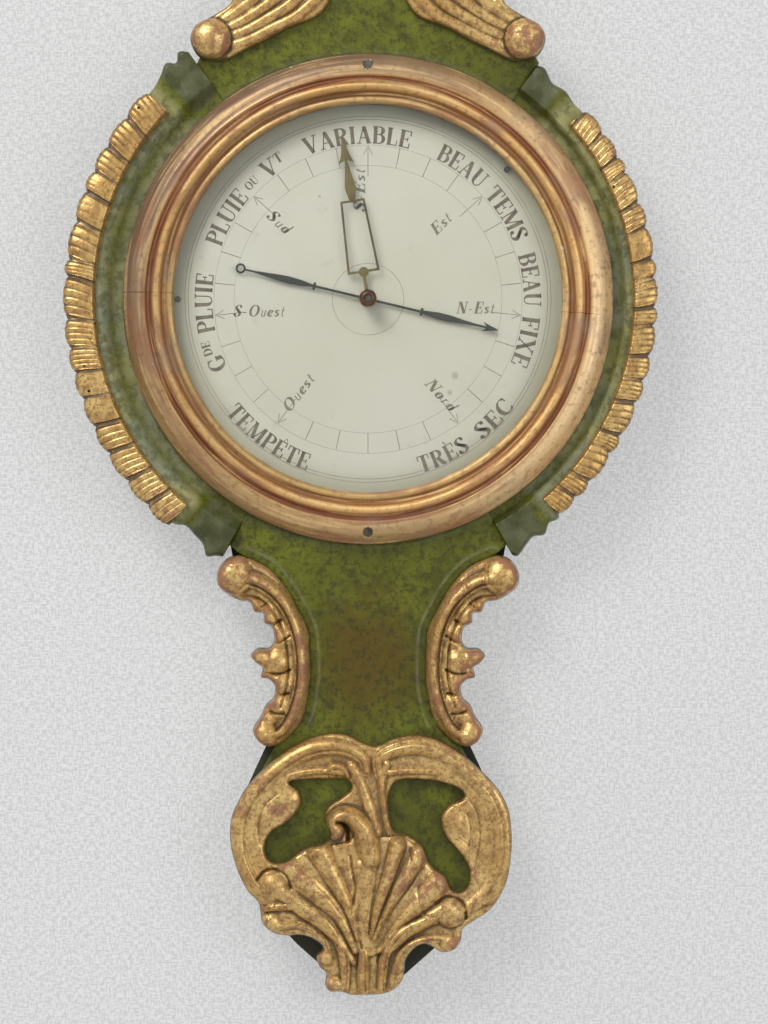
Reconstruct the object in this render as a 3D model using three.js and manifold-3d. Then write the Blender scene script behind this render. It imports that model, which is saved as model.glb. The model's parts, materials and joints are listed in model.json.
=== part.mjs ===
// A carved, painted and gilded wall barometer with an aneroid movement.
// Millimetres, +Z up, +X to the right of someone facing the dial, and the dial faces -Y.
// The origin is on the wall plane, on the axis of the dial. A depth d below means y = -d.
import * as THREE from "three";
import { mergeVertices } from "three/addons/utils/BufferGeometryUtils.js";
import Module from "manifold-3d";

const wasm = await Module();
wasm.setup();

// ---------------------------------------------------------------- driving dimensions
const LOWER_LENGTH = 447; // dial axis to the lowest point of the case
const UPPER_LENGTH = 494; // dial axis to the highest point of the crest
const DIAL_R = 126; // radius of the dial plate
const GAP = 0.3; // running gap between pieces that touch
const FACETS = 40; // sides of a large round

const BOARD_T = 18; // thickness of the back board
const PANEL_T = 14.7; // thickness of the painted panels glued on it
const BEZEL_W = 33; // width of the turned moulding
const LEFT = { sign: -1, bandIn: 174.5, bandW: 20.5, name: "left" };
const RIGHT = { sign: 1, bandIn: 169.5, bandW: 16.5, name: "right" };
const BAND_T = 7; // thickness of the gilded bands
const RIM_UP = 6; // how far a wing's rim stands above the panels
const UPPER_SEAM = 36; // degrees from straight up to the upper end of a wing
const LOWER_SEAM = 29.5; // degrees from straight down to its lower end

const PAPER_T = 0.4;
const DIAL_PLATE_T = 1.6;
const GLASS_T = 2;
const RETAINER_W = 2.6;
const WELL_R = 62; // radius of the movement's hole through the back board
const COVER_T = 3;
const ARBOR_R = 0.7;
const KNOB_R = 5.5;

// ---------------------------------------------------------------- depths and radii that follow
const panelBack = BOARD_T + GAP;
const panelFront = panelBack + PANEL_T;
const rimFront = panelFront + RIM_UP;
const carvingBack = panelFront + GAP;
const bezelR = DIAL_R - 1.7 + BEZEL_W;
const lipR = DIAL_R - 1.7; // the bezel's inner edge
const panelInR = bezelR + GAP;
const seatFront = panelFront + 1;
const dialBack = seatFront - 3.7;
const dialFront = dialBack + DIAL_PLATE_T;
const paperFront = dialFront + GAP + PAPER_T;
const rabbetR = DIAL_R + 3.7;
const bezelBack = seatFront + GAP;
const retainerFront = bezelBack + 5.4;
const glassBack = retainerFront + GAP;
const glassFront = glassBack + GLASS_T;
const lipBack = glassFront + GAP;

// ---------------------------------------------------------------- finishes
const finish = (color, roughness, metalness = 0) =>
  new THREE.MeshStandardMaterial({ color, roughness, metalness });
const greenPaint = finish(0x4a5a28, 0.45);
const gilding = finish(0xb98b4e, 0.42, 0.6);
const bareWood = finish(0x7a5a3a, 0.8);
const brass = finish(0xb5903f, 0.35, 1);
const steel = finish(0x8a8c90, 0.35, 1);
const bluedSteel = finish(0x2b3034, 0.4, 0.8);
const paper = finish(0xccccb8, 0.7);
const clearGlass = finish(0xe8f0ec, 0.05);

// ---------------------------------------------------------------- shape helpers
const barometer = new THREE.Group();

function add(name, geometry, material) {
  const mesh = new THREE.Mesh(geometry, material);
  mesh.name = name;
  barometer.add(mesh);
  return mesh;
}

// A closed geometry as a manifold solid, turned right side out if its profile ran the other way.
function solid(geometry) {
  const bare = geometry.index ? geometry.toNonIndexed() : geometry.clone();
  bare.deleteAttribute("normal");
  bare.deleteAttribute("uv");
  const merged = mergeVertices(bare, 1e-4);
  const triVerts = new Uint32Array(merged.index.array);
  const build = () =>
    new wasm.Manifold(
      new wasm.Mesh({ numProp: 3, vertProperties: merged.attributes.position.array, triVerts }),
    );
  const made = build();
  if (made.volume() > 0) return made;
  for (let i = 0; i < triVerts.length; i += 3) {
    [triVerts[i + 1], triVerts[i + 2]] = [triVerts[i + 2], triVerts[i + 1]];
  }
  return build();
}

function geometryOf(manifold) {
  const mesh = manifold.getMesh();
  const positions = new Float32Array(mesh.numVert * 3);
  for (let i = 0; i < mesh.numVert; i++) {
    positions.set(mesh.vertProperties.subarray(i * mesh.numProp, i * mesh.numProp + 3), i * 3);
  }
  const geometry = new THREE.BufferGeometry();
  geometry.setAttribute("position", new THREE.BufferAttribute(positions, 3));
  geometry.setIndex(new THREE.BufferAttribute(mesh.triVerts, 1));
  geometry.computeVertexNormals();
  return geometry;
}

const join = (...parts) => geometryOf(parts.map(solid).reduce((a, b) => a.add(b)));
const cut = (body, ...tools) => geometryOf(tools.map(solid).reduce((a, b) => a.subtract(b), solid(body)));

// A flat shape drawn in (x, z), from one depth to another. A bevel rounds its front edge inwards.
function plate(shape, back, front, bevel = 0) {
  const geometry = new THREE.ExtrudeGeometry(shape, {
    depth: front - back - 2 * bevel,
    bevelEnabled: bevel > 0,
    bevelThickness: bevel,
    bevelSize: bevel,
    bevelOffset: -bevel,
    bevelSegments: 1,
    curveSegments: 12,
  });
  geometry.translate(0, 0, back + bevel);
  return geometry.rotateX(Math.PI / 2);
}

// A profile of [radius, depth] points turned about a line along Y through (x, z).
function turned(profile, x = 0, z = 0, sides = FACETS) {
  const points = profile.map(([r, d]) => new THREE.Vector2(r, d));
  points.push(points[0].clone());
  const geometry = new THREE.LatheGeometry(points, sides).rotateX(Math.PI).translate(x, 0, z);
  return geometryOf(solid(geometry));
}

const ring = (inner, outer, back, front, x, z, sides) =>
  turned([[inner, back], [outer, back], [outer, front], [inner, front]], x, z, sides);

function rod(r, back, front, x = 0, z = 0, sides = 16) {
  const geometry = new THREE.CylinderGeometry(r, r, front - back, sides);
  return geometry.translate(0, -(back + front) / 2, 0).translate(x, 0, z);
}

function box(x0, x1, back, front, z0, z1) {
  const geometry = new THREE.BoxGeometry(x1 - x0, front - back, z1 - z0);
  return geometry.translate((x0 + x1) / 2, -(back + front) / 2, (z0 + z1) / 2);
}

function ball(r, x, d, z, flat = 1) {
  return new THREE.SphereGeometry(r, 12, 8).scale(1, flat, 1).translate(x, -d, z);
}

function shapeOf(points) {
  return new THREE.Shape(points.map(([x, z]) => new THREE.Vector2(x, z)));
}

const mirrored = (points, sign) => points.map(([x, z]) => [sign * x, z]);

// A smooth closed outline through a few points, with a given number of steps.
function smooth(points, steps) {
  const curve = new THREE.CatmullRomCurve3(
    points.map(([x, z]) => new THREE.Vector3(x, z, 0)), true, "centripetal",
  );
  return curve.getPoints(steps).slice(0, -1).map((p) => [p.x, p.y]);
}

// A point at an angle in degrees from straight up (or from straight down with down = -1).
const polar = (r, degrees, sign = 1, down = 1) => {
  const a = THREE.MathUtils.degToRad(degrees);
  return [sign * r * Math.sin(a), down * r * Math.cos(a)];
};

function arc(r, from, to, sign, steps) {
  return Array.from({ length: steps + 1 }, (_, i) => polar(r, from + ((to - from) * i) / steps, sign));
}

// The carvings are drawn for a case of these sizes, and slide and stretch with the real one.
const DRAWN = { bezelR: 157.3, lower: 447, upper: 494 };
const lowerZ = (z) =>
  -bezelR + ((z + DRAWN.bezelR) * (LOWER_LENGTH - bezelR)) / (DRAWN.lower - DRAWN.bezelR);
const upperZ = (z) =>
  bezelR + ((z - DRAWN.bezelR) * (UPPER_LENGTH - bezelR)) / (DRAWN.upper - DRAWN.bezelR);
const lower = (points) => points.map(([x, z]) => [x, lowerZ(z)]);
const upper = (points) => points.map(([x, z]) => [x, upperZ(z)]);

// ---------------------------------------------------------------- wings: the painted side pieces of the round
const bandOut = (side) => side.bandIn + side.bandW + bezelR - DRAWN.bezelR;
const bandIn = (side) => side.bandIn + bezelR - DRAWN.bezelR;
const BAND_FROM = 47; // degrees from straight up
const BAND_TO = 139;

// The wing's edge follows the band, and swells into two lobes past each end of it.
function wingEdge(side, degrees) {
  const reach = bandOut(side) - 2.5;
  const past = Math.max(BAND_FROM - degrees, degrees - BAND_TO, 0);
  return reach + (past > 0 ? 4.5 * Math.abs(Math.sin((past * Math.PI) / 5.6)) : 0);
}

for (const side of [LEFT, RIGHT]) {
  const end = 180 - LOWER_SEAM;
  const steps = 46;
  const outer = Array.from({ length: steps + 1 }, (_, i) => {
    const degrees = UPPER_SEAM + ((end - UPPER_SEAM) * i) / steps;
    return polar(wingEdge(side, degrees), degrees, side.sign);
  });
  const inner = arc(panelInR, end, UPPER_SEAM, side.sign, 24);
  const outline = shapeOf([...outer, ...inner]);
  const cove = turned([
    [panelInR - 1, panelFront - 1], [panelInR + 5, panelFront - 1.5], [panelInR + 9, panelFront + 0.5],
    [bandIn(side) - 2, rimFront - 0.5], [bandIn(side) - 1.5, rimFront + 5], [panelInR - 1, rimFront + 5],
  ]);
  add(`wing_${side.name}`, cut(plate(outline, panelBack, rimFront), cove), greenPaint);
}

// ---------------------------------------------------------------- gilded bands on the wings' rims
for (const side of [LEFT, RIGHT]) {
  const scallops = 11;
  const steps = scallops * 3;
  const outer = Array.from({ length: steps + 1 }, (_, i) => {
    const wave = Math.abs(Math.sin((i * Math.PI * scallops) / steps));
    return polar(bandOut(side) - 2 + 2 * wave, BAND_FROM + ((BAND_TO - BAND_FROM) * i) / steps, side.sign);
  });
  const inner = arc(bandIn(side), BAND_TO, BAND_FROM, side.sign, 20);
  add(
    `gilt_band_${side.name}`,
    plate(shapeOf([...outer, ...inner]), rimFront + GAP, rimFront + GAP + BAND_T, 1.5),
    gilding,
  );
}

// ---------------------------------------------------------------- lower scrolls beside the neck
const SCROLL_FRONT = 45;
const scrollInner = [
  [80, -164], [64, -172], [52, -185], [44, -199], [38, -212], [36.5, -226], [36.5, -246], [41, -268], [49, -280],
  [58, -287],
];
const scrollOuter = [
  [70, -287], [75, -279], [68, -264], [62, -256], [61, -247], [67, -238], [74, -228], [71, -221], [61, -217],
  [64, -206], [74, -200], [84, -192], [94, -186], [97, -177], [92, -167],
];
const RIB_W = 11;

for (const side of [LEFT, RIGHT]) {
  const outline = shapeOf(mirrored(lower([...scrollInner, ...scrollOuter]), side.sign));
  const rib = shapeOf(
    mirrored(
      lower([...scrollInner, ...scrollInner.map(([x, z]) => [x + RIB_W, z + (z > -200 ? -6 : 0)]).reverse()]),
      side.sign,
    ),
  );
  add(
    `lower_scroll_${side.name}`,
    join(
      plate(outline, panelBack, SCROLL_FRONT - 8, 1.5),
      plate(rib, panelBack + 4, SCROLL_FRONT, 2),
      ball(12, side.sign * 85, SCROLL_FRONT - 9, lowerZ(-178), 0.9),
      ball(7.5, side.sign * 66, SCROLL_FRONT - 8, lowerZ(-279.5), 0.9),
    ),
    gilding,
  );
}

// ---------------------------------------------------------------- upper leaves beside the neck
const LEAF_T = 12;
const leafOutline = [
  [101, 153], [88, 153], [65, 166], [42, 177], [29, 184], [22, 196], [19, 220], [19, 250], [24, 285], [30, 312],
  [40, 332], [52, 338], [60, 330], [58, 316], [51, 306], [57, 290], [61, 270], [58, 256], [65, 242], [72, 228],
  [70, 215], [80, 206], [88, 192], [97, 181], [111, 176], [114, 165],
];

for (const side of [LEFT, RIGHT]) {
  const outline = shapeOf(mirrored(upper(leafOutline), side.sign));
  add(
    `upper_leaf_${side.name}`,
    join(
      plate(outline, carvingBack, carvingBack + LEAF_T, 2.5),
      ball(13.5, side.sign * 101, carvingBack + 8, upperZ(166), 0.6),
      ball(8, side.sign * 50, carvingBack + 9, upperZ(327), 0.7),
    ),
    gilding,
  );
}

// ---------------------------------------------------------------- cartouche at the foot
const cartoucheOutline = [
  [5, -286], [29, -279], [49, -284], [69, -299], [85, -316], [92, -336], [92, -356], [88, -375], [79, -391],
  [63, -404], [58, -417], [48, -420], [38, -416], [29, -417], [24, -425], [22, -436], [15, -444], [6, -447],
  [-10, -447], [-25, -445], [-28, -438], [-33, -427], [-30, -416], [-38, -410], [-50, -408], [-61, -406],
  [-69, -398], [-70, -387], [-79, -378], [-86, -362], [-89, -346], [-87, -329], [-79, -312], [-67, -300],
  [-52, -289], [-36, -280], [-18, -278], [-5, -283],
];
const windowLeft = [
  [-50, -310], [-15, -308], [-11, -317], [-19, -321], [-29, -330], [-29, -340], [-25, -348], [-38, -352],
  [-53, -361], [-64, -358], [-66, -349], [-61, -341], [-48, -333], [-42, -323], [-45, -315],
];
const windowRight = [
  [20, -309], [45, -309], [60, -317], [48, -327], [46, -335], [50, -346], [59, -355], [65, -368], [61, -380],
  [53, -379], [50, -371], [40, -364], [35, -354], [27, -344], [15, -341], [13, -323], [15, -313],
];
const FRAME_T = 11;
const cartouche = cut(
  plate(shapeOf(lower(cartoucheOutline)), carvingBack, carvingBack + FRAME_T - 3, 1.5),
  ...[windowLeft, windowRight].map((points) =>
    plate(shapeOf(lower(points)), carvingBack - 1, carvingBack + FRAME_T),
  ),
);

// A raised rib along a line of [x, z] points, of a given width, between two depths.
function rib(points, width, back, front) {
  const line = new THREE.CatmullRomCurve3(points.map(([x, z]) => new THREE.Vector3(x, z, 0)));
  const steps = points.length * 3;
  const sides = [1, -1].map((sign) =>
    Array.from({ length: steps + 1 }, (_, i) => {
      const p = line.getPointAt(i / steps);
      const t = line.getTangentAt(i / steps);
      return [p.x - (sign * t.y * width) / 2, p.y + (sign * t.x * width) / 2];
    }),
  );
  return plate(shapeOf([...sides[0], ...sides[1].reverse()]), back, front, 1.5);
}

const rimLine = [[8, -296], [30, -287], [52, -293], [72, -311], [85, -336], [84, -362], [73, -384], [58, -396]];
add(
  "cartouche_frame",
  join(
    cartouche,
    ...[1, -1].map((sign) =>
      rib(lower(mirrored(rimLine, sign)), 11, carvingBack + 3, carvingBack + FRAME_T),
    ),
  ),
  gilding,
);

// The shell stands on the frame: a fan of flutes with a curled tip.
const shellOutline = [
  [-8, -443], [-20, -420], [-34, -400], [-52, -383], [-53, -370], [-38, -360], [-24, -358], [-10, -350],
  [-24, -340], [-26, -328], [-16, -320], [-4, -326], [6, -340], [20, -350], [30, -362], [38, -378], [40, -392],
  [30, -404], [16, -420], [8, -443],
];
add(
  "cartouche_shell",
  plate(
    shapeOf(lower(smooth(shellOutline, 48))),
    carvingBack + FRAME_T - 3 + GAP,
    carvingBack + FRAME_T + GAP + 5,
    2.5,
  ),
  gilding,
);

// ---------------------------------------------------------------- crest at the top
const crestScroll = [
  [4, 352], [12, 338], [30, 336], [48, 346], [60, 362], [66, 382], [62, 402], [50, 412], [38, 406], [38, 394],
  [46, 390], [46, 378], [38, 366], [26, 358], [14, 362], [4, 368],
];
for (const side of [LEFT, RIGHT]) {
  add(
    `crest_scroll_${side.name}`,
    plate(
      shapeOf(mirrored(upper(smooth(crestScroll, 32)), side.sign)),
      carvingBack,
      carvingBack + LEAF_T,
      2.5,
    ),
    gilding,
  );
}
const FAN_LOBES = 7;
const fan = [];
for (let i = 0; i <= FAN_LOBES * 6; i++) {
  const t = i / (FAN_LOBES * 6);
  const reach = 88 + 10 * Math.sin(Math.PI * t) + 5 * Math.abs(Math.sin(Math.PI * FAN_LOBES * t));
  const [x, z] = polar(reach, -62 + 124 * t);
  fan.push([x * 0.62, 391 + z]);
}
const FAN_TOP = 391 + 103;
const fanShape = fan.map(([x, z]) => [x, Math.min(z, FAN_TOP)]);
add(
  "crest_shell",
  plate(
    shapeOf(upper([[14, 372], [-14, 372], ...fanShape])),
    carvingBack,
    carvingBack + LEAF_T + 2,
    2.5,
  ),
  gilding,
);

// ---------------------------------------------------------------- painted panels of the necks
const EDGE_GAP = 0.6; // beside the scrolls
const lowerPanel = [
  polar(panelInR, LOWER_SEAM - 0.4, 1, -1), polar(bezelR + 24, LOWER_SEAM - 0.4, 1, -1),
  ...lower(scrollInner.map(([x, z]) => [x - EDGE_GAP, z + (z > -230 ? EDGE_GAP : -EDGE_GAP)])),
  ...lower([[70, -306], [82, -330], [83, -356], [72, -382], [54, -400], [34, -408], [12, -438]]),
];
const upperPanel = [
  polar(panelInR, UPPER_SEAM - 0.4), polar(bezelR + 30, UPPER_SEAM - 0.4),
  ...upper([[98, 176], [84, 190], [68, 210], [54, 240], [48, 270], [46, 310], [56, 350], [60, 380], [54, 404],
    [44, 440], [26, 464], [10, 476]]),
];
const bothSides = (half) => [...half, ...mirrored(half, -1).reverse()];

function panelShape(half, down) {
  const seam = down < 0 ? LOWER_SEAM : UPPER_SEAM;
  const inner = Array.from({ length: 15 }, (_, i) => {
    const degrees = -(seam - 0.4) + (2 * (seam - 0.4) * (i + 1)) / 16;
    return polar(panelInR, degrees, 1, down);
  });
  return shapeOf([...bothSides(half), ...inner]);
}
const lowerShape = panelShape(lowerPanel, -1);
add("lower_neck_panel", plate(lowerShape, panelBack, panelFront), greenPaint);
add("upper_neck_panel", plate(panelShape(upperPanel, 1), panelBack, panelFront), greenPaint);

// ---------------------------------------------------------------- back board
const inset = 5;
const boardHalf = [
  ...upper([[0, 480], [26, 466], [46, 438], [52, 404], [58, 380], [54, 350], [44, 310], [46, 270], [52, 240],
    [66, 210], [82, 190], [96, 178]]),
  ...Array.from({ length: 19 }, (_, i) =>
    polar(bandOut(RIGHT) - inset, UPPER_SEAM + ((180 - LOWER_SEAM - UPPER_SEAM) * i) / 18),
  ),
  ...lower([[84, -184], [62, -206], [58, -222], [58, -246], [61, -268], [66, -288], [73, -303], [85, -330],
    [85, -358], [72, -388], [46, -416], [20, -439], [0, -443]]),
];
const board = shapeOf([...boardHalf, ...mirrored(boardHalf, -1).slice(1, -1).reverse()]);
board.holes.push(new THREE.Path().absarc(0, 0, WELL_R, 0, 2 * Math.PI));
const coverR = WELL_R + 8;
const coverSeat = rod(coverR + GAP, -1, COVER_T + GAP, 0, 0, FACETS);
const hangerZ = upperZ(440);
const HANGER = { w: 24, h: 40, t: 2 };
const hangerSeat = box(
  -HANGER.w / 2 - GAP, HANGER.w / 2 + GAP, -1, HANGER.t + GAP, hangerZ - HANGER.h / 2 - GAP, hangerZ + 90,
);
const hangerHoles = [-1, 1].map((s) => rod(1.6, -1, 14, s * 7, hangerZ, 12));
const COVER_SCREWS = [90, 210, 330].map((a) => {
  const t = THREE.MathUtils.degToRad(a);
  return [(WELL_R + 4) * Math.cos(t), (WELL_R + 4) * Math.sin(t)];
});
const coverScrewHoles = COVER_SCREWS.map(([x, z]) => rod(1.6, -1, 13, x, z, 12));
add(
  "back_board",
  cut(plate(board, 0, BOARD_T), coverSeat, hangerSeat, ...hangerHoles, ...coverScrewHoles),
  bareWood,
);

// ---------------------------------------------------------------- turned seat for the dial, hidden by the bezel
add(
  "dial_seat_ring",
  cut(
    turned([
      [DIAL_R - 8, panelBack], [bezelR, panelBack], [bezelR, seatFront], [DIAL_R + 0.8, seatFront],
      [DIAL_R + 0.8, dialBack - GAP], [DIAL_R - 8, dialBack - GAP],
    ]),
    ...[47, 270].map((a) => rod(1.5, dialBack - 9, dialBack + 2, ...polar(DIAL_R - 4, a), 12)),
    ...[0, 180].map((a) => rod(1.8, seatFront - 8, seatFront + 1, ...polar(bezelR - 7.5, a), 12)),
  ),
  bareWood,
);

// ---------------------------------------------------------------- bezel: the turned and gilded moulding
const b = lipR;
const bezelProfile = [
  [rabbetR, bezelBack], [rabbetR, lipBack], [b, lipBack], [b, lipBack + 1.5], [b + 2.2, lipBack + 4.2],
  [b + 4.7, lipBack + 3.4], [b + 6, lipBack + 2.4], [b + 8, lipBack + 5], [b + 11, lipBack + 8],
  [b + 14, lipBack + 6], [b + 15.6, lipBack + 2.8], [b + 17.6, lipBack + 2.4], [b + 19.4, lipBack + 4],
  [b + 24, lipBack + 2.4], [bezelR - 2, lipBack - 2.6], [bezelR, lipBack - 5], [bezelR, bezelBack],
];
const bezelScrewZ = bezelR - 7.5;
add(
  "bezel_ring",
  cut(
    turned(bezelProfile, 0, 0, 48),
    ...[1, -1].flatMap((s) => [
      rod(1.8, bezelBack - 1, lipBack + 6, 0, s * bezelScrewZ, 12),
      rod(3.1, lipBack - 1.6, lipBack + 6, 0, s * bezelScrewZ, 12),
    ]),
  ),
  gilding,
);
for (const [name, s] of [["top", 1], ["bottom", -1]]) {
  add(
    `bezel_screw_${name}`,
    join(
      rod(1.5, seatFront - 7, lipBack - 1, 0, s * bezelScrewZ, 12),
      rod(2.8, lipBack - 1.3, lipBack + 0.6, 0, s * bezelScrewZ, 12),
    ),
    steel,
  );
}

// ---------------------------------------------------------------- glass, its retainer and the set hand's bush
const BUSH_R = 4;
const setArborR = 2.1;
add("glass", ring(BUSH_R + GAP, rabbetR - GAP, glassBack, glassFront, 0, 0, 48), clearGlass);
add(
  "glass_retainer",
  ring(rabbetR - GAP - RETAINER_W, rabbetR - GAP, bezelBack, retainerFront),
  bareWood,
);
add(
  "set_hand_bush",
  turned(
    [
      [setArborR + GAP, glassBack - 0.8], [BUSH_R, glassBack - 0.8], [BUSH_R, glassFront + GAP],
      [BUSH_R + 1.8, glassFront + GAP], [BUSH_R + 1.8, glassFront + 1.1], [setArborR + GAP, glassFront + 1.1],
    ],
    0, 0, 24,
  ),
  brass,
);

// ---------------------------------------------------------------- dial plate, dial paper and their screws
const dialScrews = [["right", 47], ["left", 270]];
const arborHoleR = ARBOR_R + 0.5;
const screwHoles = () => dialScrews.map(([, a]) => rod(1.5, dialBack - 2, paperFront + 1, ...polar(DIAL_R - 4, a), 12));
add(
  "dial_plate",
  cut(ring(arborHoleR, DIAL_R, dialBack, dialFront), ...screwHoles()),
  brass,
);
add(
  "dial_paper",
  cut(ring(arborHoleR, DIAL_R - 0.5, dialFront + GAP, paperFront), ...screwHoles()),
  paper,
);
for (const [name, a] of dialScrews) {
  const [x, z] = polar(DIAL_R - 4, a);
  add(
    `dial_screw_${name}`,
    join(rod(1.2, dialBack - 8, paperFront + 0.5, x, z, 12), rod(2, paperFront + GAP, paperFront + 1.3, x, z, 12)),
    steel,
  );
}

// ---------------------------------------------------------------- indicator hand and its arbor
const handBack = paperFront + 2.4;
const HAND_T = 0.6;
const HAND_TURN = 13.5; // degrees below level, tip to the right
const arborFront = handBack + HAND_T + 0.4;

// A symmetric blade along +X from [distance, half width] stations.
function blade(stations) {
  return [...stations.map(([x, w]) => [x, w]), ...stations.map(([x, w]) => [x, -w]).reverse()];
}
const turnAbout = (geometry, degrees) => geometry.rotateY(THREE.MathUtils.degToRad(degrees));
const pointerBlade = blade([
  [-81, 0.5], [-74, 0.7], [-58, 2.1], [-52, 2.3], [-44, 1.9], [-36.5, 0.8], [-35.9, 2.6], [-34.9, 2.6], [-34.3, 0.8],
  [34.3, 0.8], [34.9, 2.6], [35.9, 2.6], [36.5, 1.2], [46, 2.2], [54, 2.2], [64, 1.2], [72, 0.7], [78, 0.7],
  [75.5, 3], [80, 1.8], [85.6, 0.4],
]);
add(
  "indicator_hand",
  turnAbout(
    cut(
      join(
        plate(shapeOf(pointerBlade), handBack, handBack + HAND_T),
        rod(4, handBack - 0.6, handBack + HAND_T, 0, 0, 24),
        ring(2, 3.3, handBack, handBack + HAND_T, -84, 0, 16),
      ),
      rod(ARBOR_R + GAP, handBack - 3, handBack + 3),
    ),
    HAND_TURN,
  ),
  bluedSteel,
);

// ---------------------------------------------------------------- set hand, arbor and knob
const setBack = arborFront + 0.6;
const SET_T = 0.7;
const SET_TURN = 9; // degrees anticlockwise of straight up
const setFrame = cut(
  plate(shapeOf([[17, -10.4], [64.2, -7.9], [64.2, 7.9], [17, 10.4]]), setBack, setBack + SET_T),
  plate(shapeOf([[18.6, -8.8], [62.8, -6.5], [62.8, 6.5], [18.6, 8.8]]), setBack - 1, setBack + SET_T + 1),
);
const setTip = blade([
  [62.5, 0.8], [65, 2.2], [72, 3.6], [78, 2.7], [90, 0.7], [88, 5], [94, 2.6], [106.5, 0.4],
]);
add(
  "set_hand",
  turnAbout(
    cut(
      join(
        setFrame,
        plate(shapeOf(setTip), setBack, setBack + SET_T),
        box(2, 19, setBack, setBack + SET_T, -1.1, 1.1),
        rod(3.3, setBack, setBack + SET_T + 0.4, 17.4, 0, 16),
        rod(5, setBack, setBack + 1.2, 0, 0, 24),
      ),
      rod(setArborR + GAP, setBack - 3, setBack + 3),
    ),
    -90 - SET_TURN,
  ),
  brass,
);
const knobBack = glassFront + 1.5;
const knobFront = knobBack + 6.5;
add("set_hand_arbor", rod(setArborR, setBack, knobFront - 1, 0, 0, 20), brass);
add(
  "set_hand_knob",
  turned(
    [
      [setArborR + GAP, knobBack], [KNOB_R - 1.5, knobBack], [KNOB_R, knobBack + 1.2], [KNOB_R, knobFront - 2],
      [KNOB_R - 1.2, knobFront - 0.6], [KNOB_R - 2.4, knobFront], [setArborR + GAP, knobFront],
    ],
    0, 0, 24,
  ),
  brass,
);

// ---------------------------------------------------------------- aneroid movement
const BASE_T = 2;
const baseBack = COVER_T + 1.2;
const baseFront = baseBack + BASE_T;
const CAPSULE_R = 24;
const CAPSULE_H = 7;
const capsuleBack = baseFront + GAP;
const capsuleFront = capsuleBack + CAPSULE_H;
const springBack = capsuleFront + GAP + 2.3;
const SPRING_T = 1.2;
const springFront = springBack + SPRING_T;
const leverBack = springFront + GAP;
const leverFront = leverBack + 1.5;
const lowBridgeBack = leverFront + 2; // room for the lever at its highest
const lowBridgeFront = lowBridgeBack + 1.2;
const hairBack = lowBridgeFront + 0.5;
const drumBack = hairBack + 1.1;
const drumFront = drumBack + 2.3;
const topBridgeBack = drumFront + 0.6;
const topBridgeFront = topBridgeBack + 1.2;
const PILLAR_AT = 50;
const screwAt = [0, -38]; // calibration screw

add(
  "movement_base_plate",
  cut(
    plate(new THREE.Shape().absarc(0, 0, WELL_R - 4, 0, 2 * Math.PI), baseBack, baseFront),
    rod(2.3, baseBack - 1, baseFront + 1, ...screwAt, 12),
  ),
  brass,
);
for (const [i, a] of [30, 150, 270].entries()) {
  const t = THREE.MathUtils.degToRad(a + 60);
  add(
    `movement_pillar_${i + 1}`,
    rod(2.5, baseFront + GAP, dialBack - GAP, PILLAR_AT * Math.cos(t), PILLAR_AT * Math.sin(t), 12),
    brass,
  );
}

// Two corrugated discs soldered at the rim hold a vacuum. The stud stands in a dimple on top.
const STUD_R = 3;
const pleats = [];
for (let i = 0; i <= 6; i++) {
  pleats.push([CAPSULE_R - 2 - i * 2.8, i % 2 ? 1 : 0.1]);
}
add(
  "aneroid_capsule",
  turned(
    [
      [0, capsuleBack + 1], [STUD_R + 0.8, capsuleBack + 1],
      ...pleats.slice().reverse().map(([r, dip]) => [r, capsuleBack + dip]),
      [CAPSULE_R, capsuleBack + 2.6], [CAPSULE_R, capsuleFront - 2.6],
      ...pleats.map(([r, dip]) => [r, capsuleFront - dip]),
      [STUD_R + 0.8, capsuleFront - 1], [0, capsuleFront - 1],
    ],
    0, 0, 24,
  ),
  steel,
);
add("capsule_stud", rod(STUD_R, capsuleFront - 0.3, springBack - GAP, 0, 0, 16), brass);

// The spring and the lever on it swing together about the top of their stand.
const STAND_X = -34;
add("spring_stand", box(STAND_X - 4, STAND_X + 4, baseFront + GAP, springBack - GAP, -12, 12), brass);
add(
  "main_spring",
  plate(shapeOf([[STAND_X - 4, -12], [8, -5], [8, 5], [STAND_X - 4, 12]]), springBack, springFront),
  steel,
);

// The end of the lever bears on a pin that turns the rocker.
const rockerX = 35;
const rockerD = leverBack - 1;
const SHORT_ARM = 3.4; // rocker axis to the pin
const ROCKER_R = 1.2;
const ROCKER_HALF = 12;
const HUB_R = 2.4;
const pinX = rockerX - SHORT_ARM;
const leverEnd = pinX + 0.3;
add(
  "main_lever",
  plate(shapeOf([[-6, -3.5], [leverEnd, -3.5], [leverEnd, 1.5], [-6, 3.5]]), leverBack, leverFront),
  brass,
);

function axleZ(r, x, d, z0, z1, sides = 12) {
  return new THREE.CylinderGeometry(r, r, z1 - z0, sides).rotateX(Math.PI / 2).translate(x, -d, (z0 + z1) / 2);
}
add("rocker_shaft", axleZ(ROCKER_R, rockerX, rockerD, -ROCKER_HALF, ROCKER_HALF), steel);
const ear = (z) => box(rockerX - 3, rockerX + 3, baseFront + GAP, rockerD + 3, z - 1.2, z + 1.2);
add(
  "rocker_frame",
  cut(
    join(
      ear(-ROCKER_HALF + 2), ear(ROCKER_HALF - 2),
      box(rockerX - 3, rockerX + 3, baseFront + GAP, baseFront + 1.8, -ROCKER_HALF + 1, ROCKER_HALF - 1),
    ),
    axleZ(ROCKER_R + GAP, rockerX, rockerD, -ROCKER_HALF - 1, ROCKER_HALF + 1),
  ),
  brass,
);
const chainD = drumBack + 0.7;
const armBore = () => axleZ(ROCKER_R + GAP, rockerX, rockerD, -6, 6);
add(
  "rocker_long_arm",
  cut(
    join(
      axleZ(HUB_R, rockerX, rockerD, -0.9, 0.9),
      box(rockerX - 0.8, rockerX + 0.8, rockerD, chainD + 1.2, -0.9, 0.9),
    ),
    armBore(),
  ),
  steel,
);
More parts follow.
